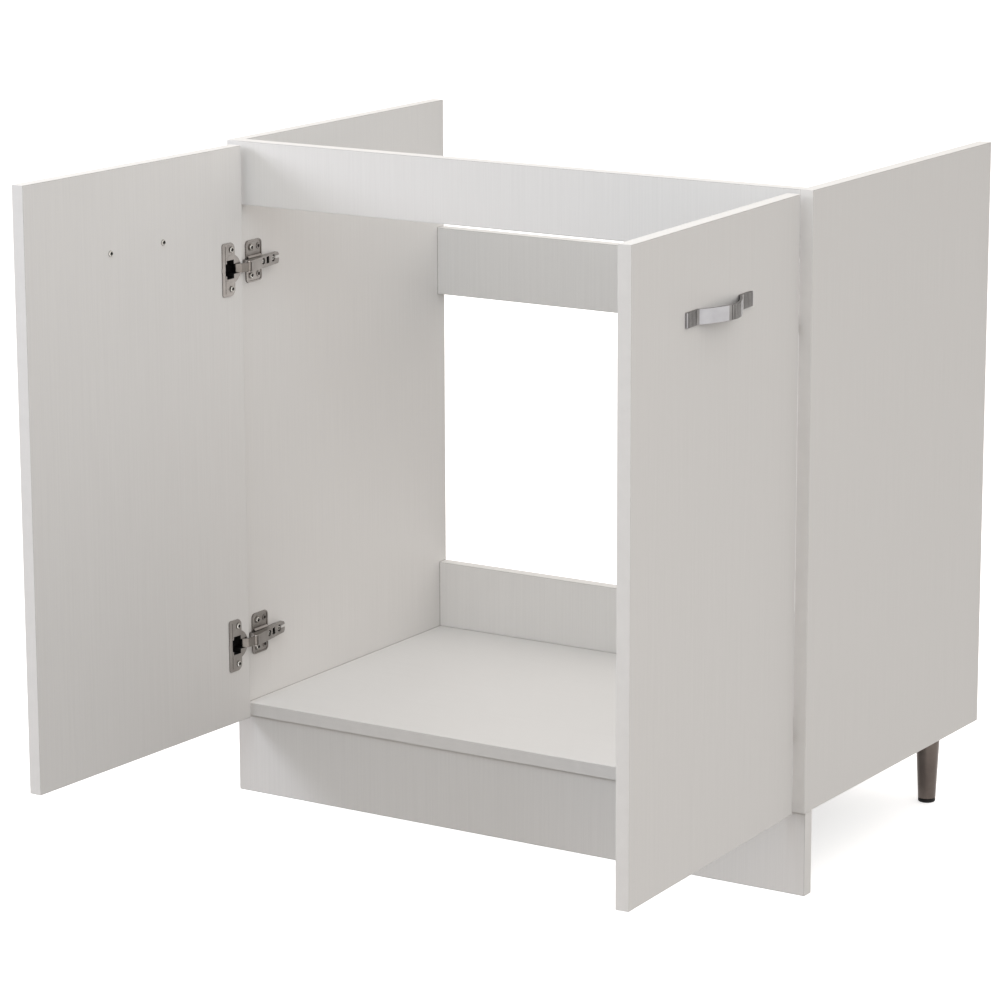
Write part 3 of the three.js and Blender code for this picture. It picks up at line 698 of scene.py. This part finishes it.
# --- screws, drawn along Z with the head on top of z = 0 ---
def screw(length, shank=SCREW.shank):
    """Cross-head screw whose shank carries ring-shaped threads."""
    root = shank - SCREW.thread
    profile = [(0, -length), (SCREW.tip, -length)]
    z = -length + shank
    while z < -SCREW.plain:
        profile += [(root, z), (shank, z + SCREW.pitch / 2)]
        z += SCREW.pitch
    profile += [(root, z), (root, 0), (SCREW.head, 0), (SCREW.head, SCREW.edge)]
    top, steps = CROWN.height, CROWN.steps
    for i in range(1, steps + 1):
        angle = math.radians(90 * i / steps)
        height = SCREW.edge + (top - SCREW.edge) * math.sin(angle)
        profile.append((SCREW.head * math.cos(angle) if i < steps else 0, height))
    reach, low = CROSS.reach, top - CROSS.depth
    body = carve(lathe(profile, FACETS.rod), *cross_cutters(reach, CROSS.half, low, top + OVERCUT))

    def in_recess(centre, normal):
        return low - MARGIN < centre.z < top - MARGIN and centre.xy.length < reach + MARGIN / 2

    # the cross recess is painted black as painted shade
    return paint(body, 1, in_recess)


def arm_screw(radius):
    """Short headed screw with a cross recess, its top at z = 0, down to the floor of its pocket."""
    depth = ARM_POCKET + ARM.wall + CLEAR - ARM_SCREW.sink
    body = lathe([
        (0, -depth),
        (radius, -depth),
        (radius, -ARM_SCREW.edge_depth),
        (radius - ARM_SCREW.edge, 0),
        (0, 0),
    ], FACETS.rod)
    reach, low = radius * ARM_SCREW.cross, -ARM_SCREW.cross_depth
    body = carve(body, *cross_cutters(reach, ARM_SCREW.cross_half, low, OVERCUT))

    def in_recess(centre, normal):
        return centre.xy.length < reach and low - MARGIN < centre.z < -MARGIN / 2

    # the cross recess is painted black as painted shade
    return paint(body, 1, in_recess)


# --- hinges ---
def mouth_outline():
    """Opening of the cup: a slot for the link, a wider middle and a notch toward the door's middle."""
    upper_edge = [
        (MOUTH_NOTCH.high, MOUTH_NOTCH.half),
        (MOUTH.high, MOUTH_NOTCH.half),
        (MOUTH.high, MOUTH.half),
        (MOUTH.low, MOUTH.half),
        (MOUTH.low, MOUTH_SLOT.half),
        (MOUTH_SLOT.low, MOUTH_SLOT.half),
    ]
    return upper_edge + [(x, -z) for x, z in reversed(upper_edge)]


def cup_body():
    """The cup before it is hollowed: flange, lip and round body."""
    low, high = FLANGE.low, FLANGE.high
    outline = rounded_outline(FLANGE.near, -FLANGE.half, FLANGE.far, FLANGE.half, FLANGE_CORNERS)
    lip = lathe([
        (0, low),
        (LIP.radius - LIP.under, low),
        (LIP.radius, low + LIP.under),
        (LIP.radius - LIP.slant, high - LIP.drop),
        (LIP.radius - LIP.top, high),
        (0, high),
    ], FACETS.cup)
    pot = rod(CUP.radius, -CUP.depth, high - LIP.drop, FACETS.cup)
    centre = at(CUP.x, 0, 0)
    return fuse(prism(outline, low, FLANGE.face), moved(lip, centre), moved(pot, centre))


def cup_shape():
    """Cup with its flange, drawn with the flange facing +Z and x from the door edge."""
    low, high, face = FLANGE.low, FLANGE.high, FLANGE.face
    inner = CUP.radius - CUP.wall
    room = rod(inner, CUP.floor - CUP.depth, high + OVERCUT, FACETS.cup)
    mouth = prism(mouth_outline(), -CUP.depth, high + 2 * OVERCUT)
    opening = boolean(moved(room, at(CUP.x, 0, 0)), mouth, "INTERSECT")
    groove = block(
        (GROOVE.x - GROOVE.width / 2, -GROOVE.half, face - GROOVE.depth),
        (GROOVE.x + GROOVE.width / 2, GROOVE.half, high + OVERCUT),
    )
    lip_cut = block(
        (LIP_CUT.x, -LIP_CUT.half, face),
        (FLANGE.far + 2 * OVERCUT, LIP_CUT.half, high + OVERCUT),
    )
    hole = rod(CUP_SCREW.hole, low - OVERCUT, high + OVERCUT)
    holes = [moved(hole.copy(), at(CUP_SCREW.x, end * CUP_SCREW.z, 0)) for end in ENDS]
    shape = carve(cup_body(), opening, groove, lip_cut, *holes)

    def is_inside(centre, normal):
        reach = math.hypot(centre.x - CUP.x, centre.y)
        return -CUP.depth + MARGIN < centre.z < low and reach < inner + MARGIN

    return paint(shape, 1, is_inside)


def cup_insert():
    """Black plastic bed in the cup's mouth: a floor and a round buffer below the link."""
    low = CUP.floor - CUP.depth + BED.lift
    half = MOUTH.half - BED.side
    left, right = MOUTH.low + BED.edge, MOUTH.high - BED.side
    bed = block((left, -half, low), (right, half, low + BED.thickness))
    top = BUFFER.top
    place = at(BUFFER.x, BUFFER.z, 0)
    buffer = moved(rod(BUFFER.radius, low + BED.thickness / 2, top), place)
    dimple = moved(rod(BUFFER.dimple, top - BUFFER.dimple_depth, top + OVERCUT), place)
    return fuse(bed, carve(buffer, dimple))


def link_shape():
    """Bent strap drawn from its pivot: rolled eye, straight run, rounded knee and the end in the cup."""
    radius = LINK.thickness / 2
    half = LINK.half
    knee, tip = Vector(LINK.knee), Vector(LINK.tip)

    def bar(start, end):
        run = end - start
        turn = Matrix.Rotation(math.atan2(run.y, run.x), 4, "Z")
        return moved(block((0, -radius, -half), (run.length, radius, half)), turn, at(start.x, start.y, 0))

    def bend(point):
        return moved(rod(radius, -half, half, FACETS.pin), at(point.x, point.y, 0))

    start = knee.normalized() * (EYE.link - radius)
    eye = rod(EYE.link, -half, half, FACETS.eye)
    strap = fuse(eye, bar(start, knee), bend(knee), bar(knee, tip), bend(tip))
    return carve(strap, rod(EYE.pin + CLEAR, -half - OVERCUT, half + OVERCUT))


def arm_face(y):
    """Height of the arm's outer face, a straight slope from its fork to its back end."""
    return ARM.face - ARM.fall * (y - ARM.front) / (ARM.back - ARM.front)


def on_arm_face(shape, y):
    """Puts a shape drawn along Z on the arm's outer face, over its screws."""
    return moved(shape, ALONG_X, at(arm_face(y), y, ARM_SCREW_Z))


def arm_body():
    """The arm before it is hollowed: channel, cheeks of the fork and eye."""
    half, face, front, back = ARM.half, ARM.face, ARM.front, ARM.back
    roof = arm_face(back)
    edge = roof - ARM_SKIRT.back
    channel = [
        (face - ARM_SKIRT.front, front),
        (face, front),
        (roof, back),
        (edge, back),
        (edge + ARM_SKIRT.kink_rise, back - ARM_SKIRT.kink),
    ]
    eye_low = PIVOT_U - EYE.arm
    cheek_back = front + ARM_OVERLAP
    radius = ARM_NOSE.radius
    cheeks = (
        [(eye_low, PIVOT.y)]
        + arc(face - radius, PIVOT.y - ARM_NOSE.ahead, radius, 270, 360)
        + [(face, front), (arm_face(cheek_back), cheek_back), (eye_low, cheek_back)]
    )
    eye = moved(rod(EYE.arm, -half, half, FACETS.eye), at(PIVOT_U, PIVOT.y, 0))
    return fuse(prism(channel, -half, half), prism(cheeks, -half, half), eye)


def arm_room():
    """Cutters for the inside of the channel and for the fork's slot."""
    inner = ARM.half - ARM.wall
    fork_back = ARM.front - ARM_LIP
    front, back = fork_back + ARM.wall, ARM.back + OVERCUT
    below, above = -2 * OVERCUT, ARM.face + 2 * OVERCUT
    outline = [
        (below, front),
        (arm_face(front) - ARM.wall, front),
        (arm_face(back) - ARM.wall, back),
        (below, back),
    ]
    fork = block((0, PIVOT.y - 2 * EYE.arm, -inner), (above, fork_back, inner))
    return [prism(outline, -inner, inner), fork]


def round_windows(gap, low, high):
    """Cutters over the arm's two screws, wider than its openings by the gap."""
    return [
        on_arm_face(rod(radius + gap, low, high), ARM_SCREW_Y[name])
        for name, radius in ARM_WINDOW_RADIUS.items()
    ]


def arm_windows():
    """Cutters for all openings in the arm's outer face."""
    depth, rise = ARM_WINDOW.depth, ARM_WINDOW.rise
    cutters = round_windows(0, -depth, rise)
    slots = [(0, ARM_SLOT.z, ARM_SLOT.y)]
    slots += [(i * ARM_SLOT.tooth_pitch, ARM_SLOT.tooth, ARM_SLOT.tooth_y) for i in (-1, 0, 1)]
    for middle, half, length in slots:
        slot = block((middle - half, -length, -depth), (middle + half, length, rise))
        cutters.append(on_arm_face(slot, ARM_SCREW_Y["slot"]))
    half = TAIL_SLOT.half
    tail = block((-half, 0, -TAIL_SLOT.depth), (half, TAIL_SLOT.length, rise))
    cutters.append(on_arm_face(tail, ARM_SCREW_Y["clamp"]))
    return cutters


def arm_corners():
    """Cutters for the two corners of the arm's back end."""
    back, side = ARM.back + OVERCUT, ARM.half + OVERCUT
    cutters = []
    for end in ENDS:
        inward = side - ARM_CHAMFER.z
        outline = [(back, end * side), (back - ARM_CHAMFER.y, end * side), (back, end * inward)]
        cutters.append(prism(outline, -2 * OVERCUT, ARM.face + 2 * OVERCUT, 0))
    return cutters


def arm_shape():
    """Pressed channel over the mounting plate, with its fork, pin and the openings over its screws."""
    body = carve(arm_body(), *arm_room(), *arm_windows(), *arm_corners())
    reach = ARM.half + EYE.pin_end
    return fuse(body, moved(rod(EYE.pin, -reach, reach, FACETS.pin), at(PIVOT_U, PIVOT.y, 0)))


def plate_wings():
    """Flat wings with a raised rim and a boss around each hole."""
    front, back, half = PLATE.front, PLATE.back, PLATE.half
    thick, rim, corner = PLATE.thickness, PLATE.rim, PLATE.round
    bottom, top = PLATE_RISE - half, PLATE_RISE + half
    wings = prism(rounded_outline(front, bottom, back, top, (corner,) * 4), 0, thick, 0)
    inset = rounded_outline(front + rim, bottom + rim, back - rim, top - rim, (corner - rim,) * 4)
    sunk = prism(inset, thick - PLATE.sunk, thick + OVERCUT, 0)
    bosses, holes = [], []
    for end in ENDS:
        for hole in (PLATE_SCREW, PLATE_SPARE):
            centre = at(0, hole.y, PLATE_RISE + end * PLATE_SCREW.z)
            bosses.append(moved(rod(hole.boss, 0, thick + 2 * OVERCUT), ALONG_X, centre))
            holes.append(moved(rod(hole.hole, -OVERCUT, thick + 2 * OVERCUT), ALONG_X, centre))
    return carve(wings, carve(sunk, *bosses), *holes)


def plate_body():
    """Raised middle under the arm, with a pocket under each of the arm's openings."""
    gap = ARM.wall + CLEAR
    low, first, last = PLATE_BODY.low, PLATE_BODY.front, PLATE_BODY.back
    nose = PLATE_BODY.nose
    outline = [
        (low, first),
        (arm_face(first) - gap - nose, first),
        (arm_face(first + nose) - gap, first + nose),
        (arm_face(last) - gap, last),
        (low, last),
    ]
    body = prism(outline, -PLATE_BODY.half, PLATE_BODY.half)
    floor = -gap - ARM_POCKET
    pockets = round_windows(0.1, floor, OVERCUT)
    reach, length = ARM_SLOT.z, ARM_SLOT.y + 0.4
    slot = block((0.6 - reach, -length, floor), (reach, length, OVERCUT))
    return carve(body, *pockets, on_arm_face(slot, ARM_SCREW_Y["slot"]))


def plate_foot():
    """Step on both sides of the raised middle."""
    low, high = PLATE_FOOT.low, PLATE_FOOT.high
    half, top_half, thick = PLATE_FOOT.half, PLATE_FOOT.top_half, PLATE.thickness
    outline = [(low, -half), (thick, -half), (high, -top_half), (high, top_half), (thick, half), (low, half)]
    return prism(outline, PLATE.front + PLATE_FOOT.inset, PLATE.back - PLATE_FOOT.inset, 1)


def plate_shape():
    """Cross mounting plate: wings, foot and the raised body, whose pockets are painted black as painted
    shade.
    """

    def in_pocket(centre, normal):
        depth = arm_face(centre.y) - ARM.wall - CLEAR - centre.x
        in_body = abs(centre.z) < PLATE_BODY.half - MARGIN / 2 and centre.y > POCKET_FRONT
        return in_body and 2 * MARGIN < depth < ARM_POCKET + 3 * MARGIN

    return paint(fuse(plate_wings(), plate_foot(), plate_body()), 1, in_pocket)


def hinge_screws(name, place, on_door, cup_screw, plate_screw):
    """The screws of a hinge's cup and mounting plate, then the arm's two."""
    for end, label in ((1, "a"), (-1, "b")):
        seat = on_door @ at(CUP_SCREW.x, CUP_SCREW.seat, end * CUP_SCREW.z) @ ALONG_Y
        stand_in(f"{name}_cup_screw_{label}", cup_screw.copy(), seat, SCREW_FINISH, SOFT.screw)
        seat = place @ at(PLATE.thickness, PLATE_SCREW.y, PLATE_RISE + end * PLATE_SCREW.z) @ ALONG_X
        stand_in(f"{name}_plate_screw_{label}", plate_screw.copy(), seat, SCREW_FINISH, SOFT.screw)
    for label, radius in ARM_SCREW_RADIUS.items():
        y = ARM_SCREW_Y[label]
        seat = place @ at(arm_face(y) - ARM_SCREW.sink, y, ARM_SCREW_Z) @ ALONG_X
        piece = f"{name}_arm_{label}_screw"
        place_piece(piece, "cabinet", arm_screw(radius), seat, SCREW_FINISH, SOFT.arm_screw)


def hinges():
    cup, insert, link, arm, plate = cup_shape(), cup_insert(), link_shape(), arm_shape(), plate_shape()
    cup_screw = screw(CUP_SCREW.length)
    plate_screw = screw(PLATE_SCREW.length)
    for side in SIDES:
        for level in LEVELS:
            name = f"{side}_{level}"
            place = mirrored(side) @ at(INNER_X, 0, HINGE_Z[level])
            on_door = door_place(side, HINGE_Z[level] - DOOR_LOW.z)
            cup_place = on_door @ ALONG_Y
            pivot = place @ at(PIVOT_U, PIVOT.y, 0)
            stand_in(f"{name}_hinge_cup", cup.copy(), cup_place, HINGE_FINISH, SOFT.cup)
            bed = insert.copy()
            place_piece(f"{name}_cup_insert", f"{side}_door", bed, cup_place, PLASTIC, SOFT.plastic)
            stand_in(f"{name}_hinge_arm", arm.copy(), place, HINGE_FINISH, SOFT.arm)
            stand_in(f"{name}_hinge_link", link.copy(), pivot, LINK_FINISH, SOFT.arm)
            stand_in(f"{name}_mounting_plate", plate.copy(), place, HINGE_FINISH, SOFT.plate)
            hinge_screws(name, place, on_door, cup_screw, plate_screw)


# --- handles ---
def ribbed(start, end, height):
    """Outline points from start down to end with grooves cut into a flat of that height."""
    points = []
    x = start
    while x - RIB.pitch >= end:
        groove_end = x - RIB.width
        low = height - RIB.depth
        points += [(x, height), (x - RIB.slant, low)]
        points += [(groove_end + RIB.slant, low), (groove_end, height)]
        x -= RIB.pitch
    return points


def crest_drop(x):
    return CREST.drop * (x / HANDLE.crest) ** 2


def flank_points():
    """Rising stretch between the foot and the crest, on the outer side."""
    strap, foot = HANDLE.strap, HANDLE.foot
    run = foot - HANDLE.crest - FLANK.gap
    rise = HANDLE.out - 2 * CREST.proud - CREST.drop - strap
    points = []
    for i in range(FLANK.steps + 1):
        t = i / FLANK.steps
        swell = FLANK.swell * math.sin(math.pi * t) * (1 - FLANK.skew * t)
        points.append((foot - run * t, strap + rise * t + swell))
    return points


def handle_shape():
    """Bow of one bent strap, drawn along X with its outer face toward +Y."""
    half, strap, foot, crest = HANDLE.half, HANDLE.strap, HANDLE.foot, HANDLE.crest
    top = HANDLE.out - CREST.proud
    flank = flank_points()
    rounding = HANDLE.end_round
    right = (
        arc(half - rounding, strap - rounding, rounding, 0, 90, 2)
        + ribbed(half - RIB.first, foot + RIB.last, strap)
        + flank
        + [(crest + step, top - CREST.drop) for step in CREST.step]
    )
    ribs = [(x, y - crest_drop(x)) for x, y in ribbed(crest - CREST.margin, CREST.margin - crest, top)]
    left = [(-x, y) for x, y in reversed(right)]
    under_flank = [(x - FLANK.shift, y - strap * FLANK.thick) for x, y in flank]
    inner_right = [(half, 0), (foot - FLANK.gap, 0)] + [point for point in under_flank if point[1] > 0.05]
    inner_left = [(-x, y) for x, y in inner_right]
    arch = [(x, top - strap - crest_drop(x)) for x in ARCH_X]
    outline = right + ribs + left + inner_left + arch + inner_right[::-1]
    body = prism(outline, -HANDLE.height / 2, HANDLE.height / 2)
    thread = rod(HANDLE_BOLT.hole, -OVERCUT, HANDLE_BOLT.thread)
    threads = [moved(thread.copy(), ALONG_Y, at(end * HANDLE_BOLT.x, 0, 0)) for end in ENDS]
    # the ribs and the strap's upper and lower faces get painted shade
    return paint(carve(body, *threads), 1, in_painted_shade)


def in_painted_shade(centre, normal):
    """Painted shade on the ribs of the feet and the crest, and on the strap's upper and lower faces."""
    across = abs(centre.x)
    on_foot = HANDLE.foot + 4 * MARGIN < across < HANDLE.half - RIB.first + MARGIN
    on_crest = across < HANDLE.crest + MARGIN and centre.y > HANDLE.out - CREST.drop - 2 * RIB.depth
    return abs(normal.z) > 0.9 or normal.y > -0.3 and (on_foot or on_crest)


def handles():
    bow = handle_shape()
    bolt = screw(BOARD + CLEAR + HANDLE_BOLT.thread, HANDLE_BOLT.shank)
    for side in SIDES:
        middle = door_place(side, HANDLE.z) @ at(DOOR_WIDTH / 2, 0, 0)
        place = middle @ at(0, -BOARD - CLEAR, 0) @ OUTWARD
        stand_in(f"{side}_handle", bow.copy(), place, HANDLE_FINISH, SOFT.handle)
        for end, label in ((-1, "a"), (1, "b")):
            seat = middle @ at(end * HANDLE_BOLT.x, CLEAR, 0) @ ALONG_Y
            stand_in(f"{side}_handle_screw_{label}", bolt.copy(), seat, SCREW_FINISH, SOFT.screw)


# --- legs ---
def leg_tube(low, high, bottom_radius, top_radius):
    """Tapered tube with a threaded insert at its lower end."""
    rim, wall = LEG.rim, LEG.wall
    insert_top = low + LEG.insert
    return lathe([
        (bottom_radius - rim, low),
        (bottom_radius, low + rim),
        (top_radius, high - LEG.top_edge),
        (top_radius - LEG.top_rim, high),
        (top_radius - wall, high),
        (bottom_radius - wall, insert_top),
        (LEG.bore, insert_top),
        (LEG.bore, low),
    ], FACETS.leg, ring=True)


def leg_foot(radius, tube_low, stem_top):
    """Foot with rounded lower edge, and its stem inside the tube."""
    top = tube_low - FOOT.gap
    return lathe([
        (0, 0),
        (radius - FOOT.under[0], 0),
        (radius - FOOT.under[1], FOOT.side[0]),
        (radius, FOOT.side[1]),
        (radius, tube_low - FOOT_TOP.drop),
        (radius - FOOT_TOP.inset, top),
        (FOOT.stem, top),
        (FOOT.stem, stem_top - FOOT.stem_edge[1]),
        (FOOT.stem - FOOT.stem_edge[0], stem_top),
        (0, stem_top),
    ], FACETS.leg)


def leg_plate(low, high, radius, tube_radius):
    """Mounting plate with a shallow seat for the tube."""
    seat = low + LEG_PLATE.boss_depth
    return lathe([
        (0, seat),
        (tube_radius + LEG_PLATE.boss, seat),
        (tube_radius + LEG_PLATE.boss_foot, low),
        (radius - LEG_PLATE.rim, low),
        (radius, low + LEG_PLATE.rim_edge),
        (radius, high),
        (0, high),
    ], FACETS.leg)


def leg_plate_screw():
    head = lathe(LEG_SCREW.profile, FACETS.small_screw)
    reach, half, low = LEG_SCREW.cross
    return carve(head, *cross_cutters(reach, half, low, low + 1.5 * OVERCUT))


def legs():
    for side in SIDES:
        tube_low, tube_high, top_radius, place = round_node(f"{side}_leg_tube")
        _, foot_high, foot_radius, _ = round_node(f"{side}_leg_foot")
        plate_low, plate_high, plate_radius, _ = round_node(f"{side}_leg_plate")
        tube = leg_tube(tube_low, tube_high, foot_radius + CLEAR, top_radius)
        stand_in(f"{side}_leg_tube", tube, place, LEG_FINISH)
        foot = leg_foot(foot_radius, tube_low, foot_high)
        stand_in(f"{side}_leg_foot", foot, place, PLASTIC)
        plate = leg_plate(plate_low, plate_high, plate_radius, top_radius)
        stand_in(f"{side}_leg_plate", plate, place, PLAIN_STEEL)
        reach = plate_radius - LEG_PLATE.screw_inset
        for turn in range(4):
            angle = math.radians(45 + 90 * turn)
            seat = place @ at(reach * math.cos(angle), reach * math.sin(angle), plate_low) @ UPSIDE_DOWN
            name = f"{side}_leg_plate_screw_{turn + 1}"
            place_piece(name, "cabinet", leg_plate_screw(), seat, PLAIN_ZINC, SOFT.screw)


# --- plinth brackets ---
def bracket_plates(low, high):
    """Upright and level plate of the angle, still without holes."""
    thick, step = BRACKET.thickness, BRACKET.step
    corners = (BRACKET.round,) * 2 + (BRACKET.square,) * 2
    face = rounded_outline(low.x, low.z, high.x, high.z - step, corners)
    upright = prism(face, low.y, low.y + thick, 1)
    face = rounded_outline(low.x, low.y + step, high.x, high.y, corners[::-1])
    return fuse(upright, prism(face, high.z - thick, high.z))


def brackets():
    thick, shift = BRACKET.thickness, BRACKET.screw_shift
    for side in SIDES:
        node = f"{side}_plinth_bracket"
        low, high = box_mm(node)
        centre = (low + high) / 2
        y, z = centre.y + shift, centre.z - shift
        shape = bracket_plates(low, high)
        seats = []
        for end in ENDS:
            x = centre.x + end * BRACKET.screw_x
            through = rod(BRACKET_SCREW.hole, -OVERCUT, thick + OVERCUT)
            down = rod(BRACKET_SCREW.hole, -thick - OVERCUT, OVERCUT)
            shape = carve(shape, moved(through, ALONG_Y, at(x, low.y, z)), moved(down, at(x, y, high.z)))
            seats.append(at(x, low.y + thick, z) @ ALONG_Y)
            seats.append(at(x, y, high.z - thick) @ UPSIDE_DOWN)
        stand_in(node, shape, WORLD, PLAIN_STEEL, SOFT.bracket)
        for count, seat in enumerate(seats, 1):
            head = screw(BRACKET_SCREW.length)
            name = f"{side}_bracket_screw_{count}"
            place_piece(name, "cabinet", head, seat, SCREW_FINISH, SOFT.screw)


# --- studio ---
def glow_strength(tree):
    """Even glow of the floor, which fades out in a flat ellipse under the cabinet as a painted shadow."""
    place = add_node(tree, "TexCoord").outputs["Object"]
    middle = (-SHADE.x, -SHADE.y * SHADE.flat, 0)
    spot = add_node(tree, "Mapping", Vector=place, Location=middle, Scale=(1, SHADE.flat, 1))
    shade = add_node(tree, "TexGradient", Vector=spot.outputs["Vector"])
    shade.gradient_type = "SPHERICAL"
    return spread(tree, shade.outputs["Fac"], (1 - SHADE.outer, 1 - SHADE.inner), FLOOR_GLOW, 0)


def ground():
    bpy.ops.mesh.primitive_plane_add(size=80, location=(0, 0, 0))
    floor = bpy.context.object
    floor.name = "floor"
    material, tree, shader = new_material("pale floor", 0.85)
    give_color(shader, tone(tree, noise(tree, 3), *PALE))
    shader.inputs["Specular IOR Level"].default_value = 0.1
    shader.inputs["Emission Color"].default_value = (1, 1, 1, 1)
    fill(shader, {"Emission Strength": glow_strength(tree)})
    material.cycles.emission_sampling = "NONE"
    floor.data.materials.append(material)
    floor.visible_diffuse = False  # the floor stays white without lighting the object from below


def sky():
    """Soft light from above the horizon, none from below it."""
    world = bpy.data.worlds.new("studio")
    world.use_nodes = True
    tree = world.node_tree
    direction = add_node(tree, "TexCoord").outputs["Generated"]
    parts = add_node(tree, "SeparateXYZ", Vector=direction)
    strength = spread(tree, parts.outputs["Z"], (-SKY.span, SKY.span), SKY.below, SKY.above)
    fill(tree.nodes["Background"], {"Strength": strength, "Color": (*SKY.color, 1)})
    bpy.context.scene.world = world


def lamps():
    for name, place, size, power, color in LAMPS:
        lamp = bpy.data.lights.new(name, "AREA")
        lamp.shape = "DISK"
        lamp.size = size
        lamp.energy = power
        lamp.color = color
        light = add_object(name, lamp)
        light.location = place
        light.rotation_euler = (LAMP_AIM - Vector(place)).to_track_quat("-Z", "Y").to_euler()


def camera():
    yaw, pitch = math.radians(AIM.yaw), math.radians(AIM.pitch)
    forward = Vector((-math.sin(yaw) * math.cos(pitch), math.cos(yaw) * math.cos(pitch), math.sin(pitch)))
    level = Vector((math.cos(yaw), math.sin(yaw), 0))
    right = Matrix.Rotation(-math.radians(AIM.roll), 3, forward) @ level
    up = right.cross(forward)
    data = bpy.data.cameras.new("camera")
    data.sensor_width = CAMERA.sensor
    data.lens = CAMERA.lens
    data.clip_end = CAMERA.far
    thing = add_object("camera", data)
    place = Matrix((right, up, -forward)).transposed().to_4x4()
    place.translation = CAMERA.place
    thing.matrix_world = place
    bpy.context.scene.camera = thing


side_boards()
front_boards()
bottom_board()
door_boards()
cams()
hinges()
handles()
legs()
brackets()
ground()
sky()
lamps()
camera()
bpy.context.scene.view_settings.view_transform = "Standard"
